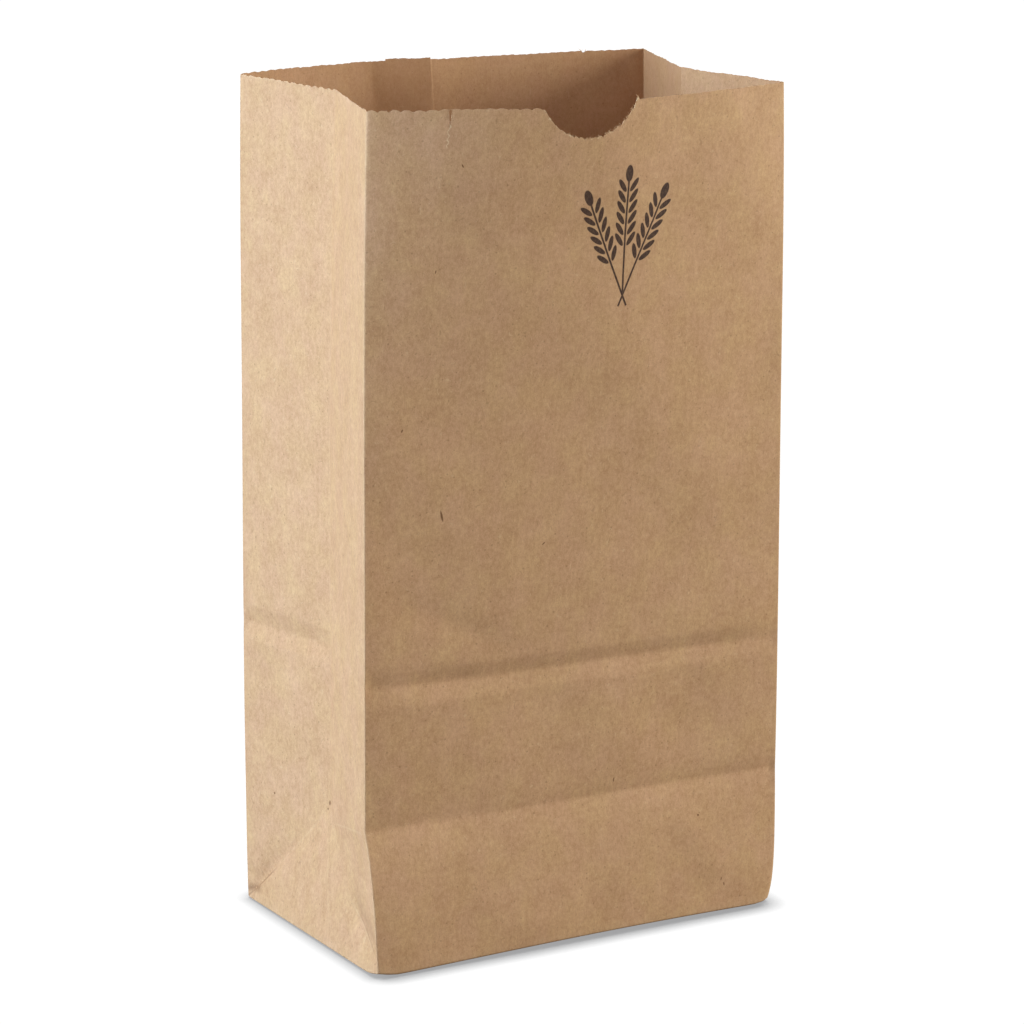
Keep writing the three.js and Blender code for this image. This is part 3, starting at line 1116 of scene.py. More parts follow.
    def build(self) -> bpy.types.Object:
        """Builds the wall.

        Returns:
            The wall's object.
        """
        u, rows = self.columns(), self.rows()
        wall = self._grid(u, np.repeat(rows[:, None], len(u), axis=1))
        rim_u = self.rim.columns()
        top = self.rim.heights(rim_u)
        strip = self._grid(rim_u, np.array([mix(rows[-1], top, share) for share in self.STRIP_SHARES]))
        self._weave(wall)
        self._zip(wall[-1], strip[0])
        self._weave(strip)
        self._close(strip[-1], 1.0)
        self._close(wall[0], -1.0)
        return self.draft.build("bag_wall", self.SHARP)


class BaseFlaps:
    """The flaps that close the base, each one ply of paper, pasted flat on each other."""

    GRID_STEP = 5 * MM
    SWELL = 0.5 * MM
    CORNER_CUT = 1.1 * MM
    EDGE_STEPS = 25
    TOOTH_STEPS = 6
    FLAT_FACE = 0.5
    SHARP = math.radians(40)

    def __init__(self, sheet: FoldedSheet, layout: Layout) -> None:
        """Works out where the flaps start.

        Args:
            sheet: The folded sheet that they belong to.
            layout: Where the flaps lie on the flat layout.
        """
        self.sheet = sheet
        self.sizes = sheet.sizes
        self.layout = layout
        self.foot_x = self.sizes.half_width - self.sizes.short_edge_radius
        self.foot_y = self.sizes.half_gusset - self.sizes.long_edge_radius
        self.shelf = Shelf(layout.flaps_from, layout.span)

    def _saw_cut(self, length: float) -> list[FlatPoint]:
        """Gives points along a saw-cut edge, as distance along it and drop below it.

        Args:
            length: The edge's length.

        Returns:
            The points, without the edge's ends.
        """
        s = self.sizes
        count = round(length / s.tooth_pitch)
        shares = np.arange(1, count * self.TOOTH_STEPS) / self.TOOTH_STEPS
        drops = s.tooth_depth * tooth(math.pi * shares)
        return [(share * length / count, drop) for share, drop in zip(shares.tolist(), drops.tolist())]

    def _foot(self, start: float, end: float) -> list[FlatPoint]:
        """Gives the edge that a flap shares with its wall, its points closest together at the corners.

        Args:
            start: Where the wall starts along u.
            end: Where it ends.

        Returns:
            Points in X and Y.
        """
        shares = 0.5 - 0.5 * np.cos(np.linspace(0.0, math.pi, self.EDGE_STEPS))
        u = mix(start + self.CORNER_CUT, end - self.CORNER_CUT, shares)
        points = self.sheet.middle(u, np.full_like(u, self.sizes.foot))
        return [(x, y) for x, y, _ in points.tolist()]

    def _long_flap(self, side: int) -> list[FlatPoint]:
        """Gives the outline of the flap from the front or the back.

        Args:
            side: -1 for the front, and 1 for the back.

        Returns:
            Points in X and Y.
        """
        s = self.sizes
        if side > 0:
            folded = self._foot(s.back_start, s.left_start)
        else:
            folded = self._foot(0.0, s.panel_width)[::-1]
        free_x, free_y = self.foot_x - s.flap_length, side * (self.foot_y - s.flap_length)
        teeth = [(along - free_x, free_y + side * drop) for along, drop in self._saw_cut(2 * free_x)]
        return [*folded, (-free_x, free_y), *teeth, (free_x, free_y)]

    def _short_flap(self, side: int) -> list[FlatPoint]:
        """Gives the outline of the flap from the left or the right.

        Args:
            side: -1 for the left, and 1 for the right.

        Returns:
            Points in X and Y.
        """
        s = self.sizes
        if side > 0:
            folded = self._foot(s.panel_width, s.back_start)[::-1]
        else:
            folded = self._foot(s.left_start, s.girth)
        y, free_x = self.foot_y, side * (self.foot_x - s.flap_length)
        wide_x = side * (self.foot_x - s.corner_edge_reach)
        teeth = [(free_x + side * drop, along - y) for along, drop in self._saw_cut(2 * y)]
        return [*folded, (wide_x, -y), (free_x, -y), *teeth, (free_x, y), (wide_x, y)]

    def _folded_end(self, side: int) -> list[FlatPoint]:
        """Gives the outline of the back flap's end, folded in flat under a short flap.

        Args:
            side: -1 for the left, and 1 for the right.

        Returns:
            Points in X and Y.
        """
        x, y, cut, reach = self.foot_x, self.foot_y, self.CORNER_CUT, self.sizes.flap_length
        inner_x = side * (x - reach)
        return [(side * (x - cut), y - cut), (inner_x, y - reach), (inner_x, y), (side * (x - 2 * cut), y)]

    def _lift(self, x: float, y: float) -> float:
        """Gives how far the base is off the floor."""
        return float(self.sheet.floor_lift(np.array(x), np.array(y)))

    def _swell(self, x: float, y: float) -> float:
        """Gives how far the middle of the base lifts off the floor."""
        return self.SWELL * max(0.0, 1.0 - (x / self.foot_x) ** 2) * max(0.0, 1.0 - (y / self.foot_y) ** 2)

    def _add_ply(self, work: bmesh.types.BMesh, outline: Sequence[FlatPoint], ply: int) -> None:
        """Adds one flap.

        Args:
            work: The mesh that it goes into.
            outline: Its outline in X and Y.
            ply: Which ply it is, counted from below.
        """
        paper = self.sizes.paper
        flap = bmesh.new()
        under = flap.faces.new([flap.verts.new((x, y, ply * paper)) for x, y in outline])
        under.normal_update()
        if under.normal.z > 0:
            under.normal_flip()
        raised = bmesh.ops.extrude_face_region(flap, geom=[under], use_keep_orig=True)["geom"]
        tops = [item for item in raised if isinstance(item, bmesh.types.BMVert)]
        bmesh.ops.translate(flap, verts=tops, vec=(0, 0, paper))
        self._cut_to_grid(flap)
        bmesh.ops.recalc_face_normals(flap, faces=flap.faces)
        self._lay_out(flap, outline, ply)
        for vert in flap.verts:
            vert.co.z += self._swell(vert.co.x, vert.co.y) + self._lift(vert.co.x, vert.co.y)
        part = bpy.data.meshes.new("flap")
        flap.to_mesh(part)
        flap.free()
        work.from_mesh(part)
        bpy.data.meshes.remove(part)

    def _cut_to_grid(self, flap: bmesh.types.BMesh) -> None:
        """Cuts a flap along even lines, so that it can swell.

        Args:
            flap: The flap's mesh.
        """
        for axis, reach in ((Vector((1, 0, 0)), self.foot_x), (Vector((0, 1, 0)), self.foot_y)):
            for place in np.arange(-reach + self.GRID_STEP / 2, reach, self.GRID_STEP):
                geometry = [*flap.verts, *flap.edges, *flap.faces]
                bmesh.ops.bisect_plane(flap, geom=geometry, plane_co=axis * place, plane_no=axis)

    def _lay_out(self, flap: bmesh.types.BMesh, outline: Sequence[FlatPoint], ply: int) -> None:
        """Gives a flap's corners their places on the flat layout.

        Args:
            flap: The flap's mesh, still flat.
            outline: Its outline in X and Y.
            ply: Which ply it is, counted from below.
        """
        low, high = np.min(outline, axis=0), np.max(outline, axis=0)
        size = (high - low).tolist()
        under, over = self.shelf.place(*size), self.shelf.place(*size)
        layer = flap.loops.layers.uv.new(LAYOUT_MAP)
        for face in flap.faces:
            origin = over if face.normal.z > self.FLAT_FACE else under
            for loop in face.loops:
                x, y, z = loop.vert.co
                side = z - ply * self.sizes.paper if abs(face.normal.z) < self.FLAT_FACE else 0.0
                loop[layer].uv = self.layout.spot(origin, x - low[0] + side, y - low[1])

    def build(self) -> bpy.types.Object:
        """Builds the flaps: the back one is lowest, then the front one, then the short ones.

        Returns:
            The flaps' object.
        """
        work = bmesh.new()
        work.loops.layers.uv.new(LAYOUT_MAP)
        self._add_ply(work, self._long_flap(1), 0)
        self._add_ply(work, self._long_flap(-1), 1)
        for side in (-1, 1):
            self._add_ply(work, self._folded_end(side), 1)
            self._add_ply(work, self._short_flap(side), 2)
        mesh = bpy.data.meshes.new("base_flaps")
        work.to_mesh(mesh)
        work.free()
        return finished("base_flaps", mesh, self.SHARP)


class TornFibres:
    """Loose fibres that stand out of the torn edges: the notch, the tear and a nick in the back rim."""

    SIDES = 3
    STEPS = 5
    ROOT = 0.25 * MM
    NOTCH_COUNT = 170
    TEAR_COUNT = 16
    TUFT_COUNT = 12
    BEND = 0.9
    CURL = (-0.25, 0.45)
    THICKNESS_MM = (0.045, 0.085)
    TAPER = 0.8
    RING_SKEW = 0.8
    SHORTEST = 0.25
    LENGTH_POWER = 1.5
    SHARP = math.radians(60)

    def __init__(self, sheet: FoldedSheet) -> None:
        """Keeps the sheet that is torn.

        Args:
            sheet: The folded sheet.
        """
        self.sheet = sheet
        self.rim = Rim(sheet)
        self.draw = np.random.default_rng(3)
        self.draft = MeshDraft()

    def _strand(self, u: float, z: float, angle: float, length: float) -> None:
        """Adds one tapered fibre.

        Args:
            u: Where it starts round the bag.
            z: Height at which it starts.
            angle: Its way over the flat sheet, from u towards z.
            length: Its length.
        """
        along = np.linspace(-self.ROOT, length, self.STEPS)
        bend = self.draw.uniform(-self.BEND, self.BEND) / length
        flat_u = u + along * np.cos(angle + bend * along)
        flat_z = z + along * np.sin(angle + bend * along)
        line = self.sheet.middle(flat_u, flat_z)
        _, outward = self.sheet.plan(flat_u, flat_z)
        curl = self.draw.uniform(*self.CURL) * np.maximum(along, 0.0) ** 2 / length
        line[:, :2] += outward * curl[:, None]
        thick = self.draw.uniform(*self.THICKNESS_MM) * MM
        turn = 2 * math.pi * np.arange(self.SIDES) / self.SIDES
        ring = np.column_stack([np.cos(turn), np.sin(turn), np.cos(turn + self.RING_SKEW)])
        rows = []
        for step, point in enumerate(line):
            radius = thick * (1.0 - self.TAPER * step / (self.STEPS - 1))
            rows.append(self.draft.add_points(point + ring * radius))
        for low, high in zip(rows, rows[1:]):
            for side in range(self.SIDES):
                after = (side + 1) % self.SIDES
                corners = [low + side, low + after, high + after, high + side]
                self.draft.add_face(corners, [(0.0, 0.0), (1.0, 0.0), (1.0, 1.0), (0.0, 1.0)])

    def _fringe(self, places: np.ndarray, lean: float, spread: float, longest: float) -> None:
        """Adds fibres along the cut edge.

        Args:
            places: Where they start along u.
            lean: Their mean way over the flat sheet.
            spread: How far they turn from it.
            longest: Length of the longest.
        """
        for u, z in zip(places, self.rim.heights(places)):
            angle = lean + self.draw.normal(0.0, spread)
            share = self.draw.uniform(self.SHORTEST, 1.0) ** self.LENGTH_POWER
            self._strand(float(u), float(z), angle, longest * share)

    def build(self) -> bpy.types.Object:
        """Builds the fibres.

        Returns:
            Their object.
        """
        s = self.sheet.sizes
        for share in self.draw.uniform(-0.45, 1.0, self.NOTCH_COUNT):
            place = s.notch_middle + share * 0.5 * s.notch_width
            top = float(self.rim.heights(np.array([place]))[0])
            inward = math.atan2(s.notch_centre - top, s.notch_middle - place)
            self._fringe(np.array([place]), inward, 0.7, mix(0.6, 1.5, max(0.0, share)) * MM)
        tear = s.tear_from_left + self.draw.uniform(-0.6, 0.6, self.TEAR_COUNT) * s.tear_width
        self._fringe(tear, math.pi / 2, 0.9, 0.7 * MM)
        lip = s.notch_middle + s.notch_width * self.draw.uniform(0.495, 0.52, self.TUFT_COUNT)
        self._fringe(lip, math.radians(105), 0.35, 1.3 * MM)
        nick = s.back_start + s.back_nick_from_right + self.draw.uniform(-0.7, 0.7, self.TUFT_COUNT) * MM
        self._fringe(nick, math.pi / 2, 0.4, 1.2 * MM)
        return self.draft.build("torn_fibres", self.SHARP)


class Wire:
    """A value in a shader. Each operator on it adds one Math node."""

    def __init__(self, graph: NodeGraph, socket: bpy.types.NodeSocket) -> None:
        """Wraps an output socket of a graph."""
        self.graph = graph
        self.socket = socket

    def _math(self, operation: str, *values: Any, clamp: bool = False) -> Wire:
        """Adds a Math node over some values."""
        settings = {"operation": operation, "use_clamp": clamp}
        return self.graph.wire("ShaderNodeMath", settings, dict(enumerate(values)))

    def __add__(self, other: Any) -> Wire:
        """Adds."""
        return self._math("ADD", self, other)

    def __radd__(self, other: Any) -> Wire:
        """Adds to a number."""
        return self._math("ADD", other, self)

    def __sub__(self, other: Any) -> Wire:
        """Subtracts."""
        return self._math("SUBTRACT", self, other)

    def __rsub__(self, other: Any) -> Wire:
        """Subtracts from a number."""
        return self._math("SUBTRACT", other, self)

    def __mul__(self, other: Any) -> Wire:
        """Multiplies."""
        return self._math("MULTIPLY", self, other)

    def __rmul__(self, other: Any) -> Wire:
        """Multiplies a number."""
        return self._math("MULTIPLY", other, self)

    def __truediv__(self, other: Any) -> Wire:
        """Divides."""
        return self._math("DIVIDE", self, other)

    def __rtruediv__(self, other: Any) -> Wire:
        """Divides a number."""
        return self._math("DIVIDE", other, self)

    def __pow__(self, other: Any) -> Wire:
        """Raises to a power."""
        return self._math("POWER", self, other)

    def __abs__(self) -> Wire:
        """Drops the sign."""
        return self._math("ABSOLUTE", self)

    def __mod__(self, other: Any) -> Wire:
        """Gives what is left after a division, never less than nothing."""
        return self._math("FLOORED_MODULO", self, other)

    def least(self, other: Any) -> Wire:
        """Gives the smaller of two values."""
        return self._math("MINIMUM", self, other)

    def most(self, other: Any) -> Wire:
        """Gives the larger of two values."""
        return self._math("MAXIMUM", self, other)

    def clamped(self) -> Wire:
        """Keeps a value from 0 to 1."""
        return self._math("ADD", self, 0.0, clamp=True)

    def within(self, size: Any, soft: float) -> Wire:
        """Gives 1 where a distance is under a size and 0 past it, over a soft edge."""
        return self._math("DIVIDE", size - self, soft, clamp=True)


class NodeGraph:
    """A node tree that is filled by plain calls."""

    def __init__(self, tree: bpy.types.NodeTree) -> None:
        """Empties the node tree of a material or of the world."""
        self.tree = tree
        tree.nodes.clear()

    @classmethod
    def of_material(cls, name: str) -> tuple[bpy.types.Material, NodeGraph]:
        """Makes a material.

        Args:
            name: The material's name.

        Returns:
            The material and its empty graph.
        """
        made = bpy.data.materials.new(name)
        made.use_nodes = True
        return made, cls(made.node_tree)

    def add(self, kind: str, settings: dict[str, Any] | None = None,
            inputs: dict[str | int, Any] | None = None) -> bpy.types.Node:
        """Adds a node.

        Args:
            kind: Its type.
            settings: Its properties, which are set first.
            inputs: Values or links of its sockets, by name or number.

        Returns:
            The new node.
        """
        node = self.tree.nodes.new(kind)
        for name, value in (settings or {}).items():
            setattr(node, name, value)
        for key, value in (inputs or {}).items():
            self._feed(node.inputs[key], value)
        return node

    def _feed(self, socket: bpy.types.NodeSocket, value: Any) -> None:
        """Sets or links one input.

        Args:
            socket: The input.
            value: A number, a colour, a wire or an output socket.
        """
        if isinstance(value, Wire):
            self.tree.links.new(value.socket, socket)
        elif isinstance(value, bpy.types.NodeSocket):
            self.tree.links.new(value, socket)
        elif socket.type == "RGBA":
            socket.default_value = (*value, 1.0)
        else:
            socket.default_value = value

    def wire(self, kind: str, settings: dict[str, Any] | None = None,
             inputs: dict[str | int, Any] | None = None, output: str | int = 0) -> Wire:
        """Adds a node and wraps one of its outputs."""
        return Wire(self, self.add(kind, settings, inputs).outputs[output])

    def blend(self, share: Any, first: Any, second: Any) -> bpy.types.NodeSocket:
        """Goes from the first colour to the second as share goes from 0 to 1."""
        settings = {"data_type": "RGBA", "clamp_factor": True}
        return self.add("ShaderNodeMix", settings, {0: share, 6: first, 7: second}).outputs[2]


class Flat:
    """The flat sheet inside a shader, in millimetres."""

    def __init__(self, graph: NodeGraph, layout: Layout) -> None:
        """Reads the layout.

        Args:
            graph: The graph of the paper's material.
            layout: Where the sheet lies on the layout.
        """
        self.graph = graph
        place = graph.add("ShaderNodeUVMap", {"uv_map": LAYOUT_MAP}).outputs[0]
        scale = layout.span / MM
        self.vector = self._stretched(place, (scale, scale, 0.0), (0.0, 0.0, 0.0))
        split = graph.add("ShaderNodeSeparateXYZ", None, {0: self.vector})
        self.u = Wire(graph, split.outputs[0]) - layout.outer[0] / MM
        self.v = Wire(graph, split.outputs[1]) - layout.outer[1] / MM

    def _stretched(self, vector: bpy.types.NodeSocket, scale: Rgb, shift: Rgb) -> bpy.types.NodeSocket:
        """Scales and shifts a vector."""
        settings = {"operation": "MULTIPLY_ADD"}
        return self.graph.add("ShaderNodeVectorMath", settings, {0: vector, 1: scale, 2: shift}).outputs[0]

    def grain(self, width: float, height: float, seed: float, detail: float = 2.0) -> Wire:
        """Gives noise over the sheet.

        Args:
            width: Size of its spots along u, in millimetres.
            height: Size of its spots along z.
            seed: Shift that sets it apart from other noise.
            detail: How many finer layers it has.

        Returns:
            A value from about 0.2 to 0.8.
        """
        place = self._stretched(self.vector, (1 / width, 1 / height, 0.0), (seed, 1.7 * seed, 0.0))
        inputs = {"Vector": place, "Scale": 1.0, "Detail": detail, "Roughness": 0.55}
        return self.graph.wire("ShaderNodeTexNoise", {"noise_dimensions": "2D"}, inputs)

    def specks(self, cell: float, size: float, seed: float, slim: float = 1.0) -> Wire:
        """Gives scattered specks.

        Args:
            cell: About how far apart they lie, in millimetres.
            size: Size of the largest.
            seed: Shift that sets them apart from others.
            slim: How much longer than wide they are.

        Returns:
            1 in the specks and 0 between them.
        """
        scale = (slim**0.5 / cell, slim**-0.5 / cell, 0.0)
        place = self._stretched(self.vector, scale, (seed, 2.3 * seed, 0.0))
        settings = {"voronoi_dimensions": "2D"}
        cells = self.graph.add("ShaderNodeTexVoronoi", settings, {"Vector": place, "Scale": 1.0})
        draw = self.graph.wire("ShaderNodeSeparateColor", None, {0: cells.outputs["Color"]})
        near = Wire(self.graph, cells.outputs["Distance"])
        return near.within(draw**5.0 * (size / cell), 0.25 * size / cell)

    def hairs(self, length: float, width: float, seed: float, share: float) -> Wire:
        """Gives loose fibres that lie in the face of the paper.

        Args:
            length: About how long they are, in millimetres.
            width: How wide they are.
            seed: Shift that sets them apart from others.
            share: How much of the field may hold them, where less is fewer.

        Returns:
            1 on the fibres and 0 between them.
        """
        field = self.grain(length, 1.4 * length, seed, detail=0.0)
        line = abs(field - 0.5).within(1.6 * width / length, 1.2 * width / length)
        gate = (self.grain(0.7 * length, 0.9 * length, seed + 31.0, detail=1.0) - (1.0 - share)) * 14.0
        return line * gate.clamped()


@dataclass(frozen=True)
class WheatPrint:
    """Three ears of wheat printed on the front in one dark ink.

    Attributes:
        foot_u: Where the stems meet, along the front, in millimetres.
        foot_z: Height of that place.
        ear_start: Where the grains start up a stem.
        ear_end: Where they end.
        lean: How far the outer ears lean over.
        ink: The ink's colour.
    """

    foot_u: float = 69.0
    foot_z: float = 169.0
    ear_start: float = 13.0
    ear_end: float = 29.5
    lean: float = math.radians(24)
    ink: Rgb = srgb(60, 37, 26)

    GRAIN_PITCH = 2.75
    GRAIN_ASIDE = 1.75
    GRAIN_WIDTH = 1.35
    GRAIN_HEIGHT = 1.12
    GRAIN_SLANT = 1.05
    CROWN_RISE = 1.6
    CROWN_HEIGHT = 2.3
    CROWN_WIDTH = 1.2
    STEM_HALF = 0.33
    OUTER_SHORTER = 3.0
    EDGE = 0.12

    def _ear(self, u: Wire, z: Wire, lean: float, shorter: float) -> Wire:
        """Gives one ear with its stem.

        Args:
            u: Place across, from the stems' foot.
            z: Place up, from the stems' foot.
            lean: How far the ear leans to the right.
            shorter: How much shorter than the middle one it is.

        Returns:
            1 in the ear and 0 outside it.
        """
        across = u * math.cos(lean) - z * math.sin(lean)
        up = u * math.sin(lean) + z * math.cos(lean) + shorter
        aside = abs(across)
        slanted = up - (aside - self.GRAIN_ASIDE) * self.GRAIN_SLANT - self.ear_start
        tall = ((slanted % self.GRAIN_PITCH) - self.GRAIN_PITCH / 2) / self.GRAIN_HEIGHT
        wide = (aside - self.GRAIN_ASIDE) / self.GRAIN_WIDTH
        grains = (tall * tall + wide * wide).within(1.0, 2 * self.EDGE)
        rows = self.GRAIN_PITCH * round((self.ear_end - self.ear_start) / self.GRAIN_PITCH)
        grains = grains * abs(slanted - rows / 2).within(rows / 2, self.EDGE)
        crown_up = (up - self.ear_end - self.CROWN_RISE) / self.CROWN_HEIGHT
        crown = crown_up**2.0 + (across / self.CROWN_WIDTH) ** 2.0
        along_stem = abs(up - self.ear_end / 2).within(self.ear_end / 2, self.EDGE)
        stem = aside.within(self.STEM_HALF, self.EDGE) * along_stem
        return grains.most(crown.within(1.0, 2 * self.EDGE)).most(stem)

    def mask(self, flat: Flat) -> Wire:
        """Gives where the ink lies.

        Args:
            flat: The flat sheet.

        Returns:
            1 in the ink and 0 outside it.
        """
        u, z = flat.u - self.foot_u, flat.v - self.foot_z
        middle = self._ear(u, z, 0.0, 0.0)
        right = self._ear(u, z, self.lean, self.OUTER_SHORTER)
        left = self._ear(u, z, -self.lean, self.OUTER_SHORTER)
        return middle.most(right.most(left))


@dataclass(frozen=True)
class Fleck:
    """One small dark spot at a known place, in millimetres: most are bark, and two are painted shade in a
    small pit.

    Attributes:
        u: Where its middle lies round the bag.
        z: Its height.
        length: Half of its length.
        width: Half of its width.
        lean: How far it leans to the right.
    """

    u: float
    z: float
    length: float
    width: float
    lean: float

    def mask(self, flat: Flat) -> Wire:
        """Gives where the fleck lies.

        Args:
            flat: The flat sheet.

        Returns:
            1 in the fleck and 0 outside it.
        """
        across, up = flat.u - self.u, flat.v - self.z
        wide = (across * math.cos(self.lean) - up * math.sin(self.lean)) / self.width
        tall = (across * math.sin(self.lean) + up * math.cos(self.lean)) / self.length
        return (wide * wide + tall * tall).within(1.0, 0.6)


@dataclass(frozen=True)
class FoldWearAndShade:
    """A thin line along a fold, in millimetres: the pale ones are wear, the dark ones painted shade in the
    crease.

    Attributes:
        start: Its first end, as u and z.
        end: Its other end.
        width: Half of its width.
        strength: How far it shows.
    """

    start: FlatPoint
    end: FlatPoint
    width: float
    strength: float

    def mask(self, flat: Flat) -> Wire:
        """Gives where the mark lies.

        Args:
            flat: The flat sheet.

        Returns:
            The mark's strength on it and 0 outside it.
        """
        run_u, run_z = self.end[0] - self.start[0], self.end[1] - self.start[1]
        length = math.hypot(run_u, run_z)
        across, up = flat.u - self.start[0], flat.v - self.start[1]
        along = (across * run_u + up * run_z) / length**2
        aside = abs(up * run_u - across * run_z) / length
        ends = abs(along - 0.5).within(0.5, 0.2)
        return aside.within(2 * self.width, 2 * self.width) * ends * self.strength


@dataclass(frozen=True)
class KraftFinish:
    """Brown kraft paper: cloudy, with fibres, specks, worn folds, the print on its front and painted shade.

    Places and sizes on the sheet are in millimetres here, as Flat gives them.

    Attributes:
        dark: The paper's darker tone.
        pinkish: Its lighter tone in places.
        yellowish: Its lighter tone in other places.
        speck_and_shade: Bits of bark in it, and the colour of the shade painted into tight creases and a
            small pit.
        inside: A browner, darker tone that the bag's inside leans to all over: painted shade inside the
            bag.
        inside_shade_share: How far it does.
        rear_shade_share: How much further it does from the right side's crease to just past the lap:
            painted shade there.
        lap_and_corner_tone: The darker tone that the inside leans to across the lap, and painted shade
            beside the right rear fold.
        lap_share: How far it does.
        corner_shade_share: How far the inside leans to it beside the right rear fold: painted shade in that
            inner corner.
        pale: Bare fibres where it is torn or worn.
        roughness: How matt it is.
        worn_folds: Pale lines that folding has left.
        crease_shade: Dark lines of shade painted into the bottoms of tight creases.
        flecks: Bits of bark at known places, and painted shade in a small pit at the tip of the left side's
            triangle.
    """

    dark: Rgb = srgb(181, 132, 93)
    pinkish: Rgb = srgb(209, 159, 120)
    yellowish: Rgb = srgb(209, 162, 116)
    speck_and_shade: Rgb = srgb(102, 62, 34)
    inside: Rgb = srgb(150, 98, 58)
    inside_shade_share: float = 0.15
    rear_shade_share: float = 0.25
    lap_and_corner_tone: Rgb = srgb(140, 92, 56)
    lap_share: float = 0.3
    corner_shade_share: float = 0.38
    pale: Rgb = srgb(225, 188, 147)
    roughness: float = 0.68
    worn_folds: tuple[FoldWearAndShade, ...] = (
        FoldWearAndShade((326.0, 10.2), (351.0, 33.6), 0.25, 0.18),
        FoldWearAndShade((352.5, 30.2), (388.5, 36.8), 0.22, 0.28),
        FoldWearAndShade((351.0, 33.5), (371.0, 13.0), 0.22, 0.14),
        FoldWearAndShade((367.0, 15.6), (385.0, 5.3), 0.2, 0.24),
        FoldWearAndShade((350.0, 33.0), (360.6, 3.0), 0.22, 0.12),
        FoldWearAndShade((350.75, 30.0), (350.75, 225.0), 0.2, 0.12),
    )
    crease_shade: tuple[FoldWearAndShade, ...] = (
        FoldWearAndShade((311.0, -2.0), (328.0, 11.8), 0.24, 0.9),
        FoldWearAndShade((311.0, 1.9), (321.5, 4.4), 0.8, 0.9),
        FoldWearAndShade((369.5, 17.4), (387.5, 7.6), 2.2, 0.34),
        FoldWearAndShade((373.0, 12.8), (387.0, 4.8), 0.16, 0.6),
        FoldWearAndShade((351.6, 32.0), (361.8, 4.0), 0.4, 0.1),
    )
    flecks: tuple[Fleck, ...] = (
        Fleck(20.8, 116.8, 1.7, 0.32, -0.23),
        Fleck(9.8, 139.5, 0.5, 0.24, 0.4),
        Fleck(49.5, 106.5, 0.6, 0.2, 0.9),
        Fleck(23.0, 204.8, 0.6, 0.2, -0.5),
        Fleck(17.5, 178.8, 0.5, 0.18, 0.2),
        Fleck(70.8, 40.8, 0.7, 0.2, 0.1),
        Fleck(95.5, 27.8, 0.32, 0.3, 0.0),
        Fleck(102.6, 9.4, 0.5, 0.16, 0.3),
        Fleck(103.5, 7.9, 0.6, 0.16, -0.2),
        Fleck(386.4, 3.2, 0.3, 0.22, 0.0),
        # These two are painted shade in a small pit at the tip of the left side's triangle.
        Fleck(350.9, 34.8, 0.8, 0.6, 0.25),
        Fleck(350.1, 33.0, 0.4, 0.4, 0.3),
        Fleck(326.5, 31.5, 0.34, 0.3, 0.0),
    )

    MARGIN = 2.0
    EDGE = 0.1
    GLOSS = 0.2
    BUMP_STRENGTH = 0.42
    BUMP_HEIGHT = 0.04 * MM

    def _on_sheet(self, flat: Flat, sizes: BagSizes) -> Wire:
        """Gives 1 on the sheet and 0 on the flaps, which lie past its girth on the layout."""
        return flat.u.within(sizes.girth / MM + self.MARGIN, self.EDGE)

    def _outside(self, flat: Flat, sizes: BagSizes) -> Wire:
        """Gives 1 on the outer face and 0 on the inner one, which lies above it on the layout."""
        return flat.v.within(sizes.height / MM + self.MARGIN, self.EDGE)

    def _tone(self, flat: Flat) -> Wire:
        """Gives how light the paper is, from its clouds, streaks and fibres.

        Args:
            flat: The flat sheet.

        Returns:
            A value about 0.5, from dark to light.
        """
        clouds = flat.grain(11.0, 16.0, 3.0) - 0.5
        blotches = flat.grain(3.4, 4.2, 17.0, detail=3.0) - 0.5
        mottle = flat.grain(1.0, 1.4, 23.0) - 0.5
        streaks = flat.grain(0.6, 7.0, 29.0) - 0.5
        fibres = flat.grain(0.34, 0.7, 41.0) - 0.5
        fine = flat.grain(0.30, 0.33, 53.0, detail=1.0) - 0.5
        broad = clouds * 0.5 + blotches * 0.65 + mottle * 0.95
        return 0.5 + broad + streaks * 0.15 + fibres * 0.7 + fine * 0.65

    def _worn(self, flat: Flat, sizes: BagSizes) -> Wire:
        """Gives where folds are rubbed and edges are torn, on the outer face.

        Args:
            flat: The flat sheet.
            sizes: The bag's driving sizes.

        Returns:
            1 where fibres are bare, and 0 elsewhere.
        """
        first, *others = sizes.upright_folds
        nearest = abs(flat.u - first / MM)
        for fold in others:
            nearest = nearest.least(abs(flat.u - fold / MM))
        patchy = (flat.grain(0.8, 5.0, 67.0) - 0.25).clamped()
        rubbed = nearest.within(0.4, 0.4) * patchy * 0.6
        for mark in self.worn_folds:
            rubbed = rubbed.most(mark.mask(flat) * (0.4 + patchy))
        across = flat.u - sizes.notch_middle / MM
        down = flat.v - sizes.notch_centre / MM
        from_cut = abs((across * across + down * down) ** 0.5 - sizes.notch_radius / MM)
        torn_width = (flat.grain(0.9, 0.9, 71.0) - 0.3) * 2.2
        frayed = from_cut.within(torn_width, 0.4) * self._outside(flat, sizes)
        tips = (flat.v - (sizes.height - 1.1 * sizes.tooth_depth) / MM).clamped() * patchy
        tip = (sizes.height - sizes.tear_depth) / MM
        wander = (flat.grain(1.4, 1.4, 77.0) - 0.5) * 1.6
        beside = abs(flat.u - sizes.tear_from_left / MM - wander - (flat.v - tip) * 0.13)
        split = beside.within(0.2, 0.2) * abs(flat.v - tip + 1.2).within(4.2, 0.6)
        scuffed = flat.v.within(3.5, 4.0) * patchy * 0.45
        tips = tips * self._outside(flat, sizes)
        worn = rubbed.most(frayed).most(split * 0.9).most(scuffed).most(tips)
        return worn * self._on_sheet(flat, sizes)

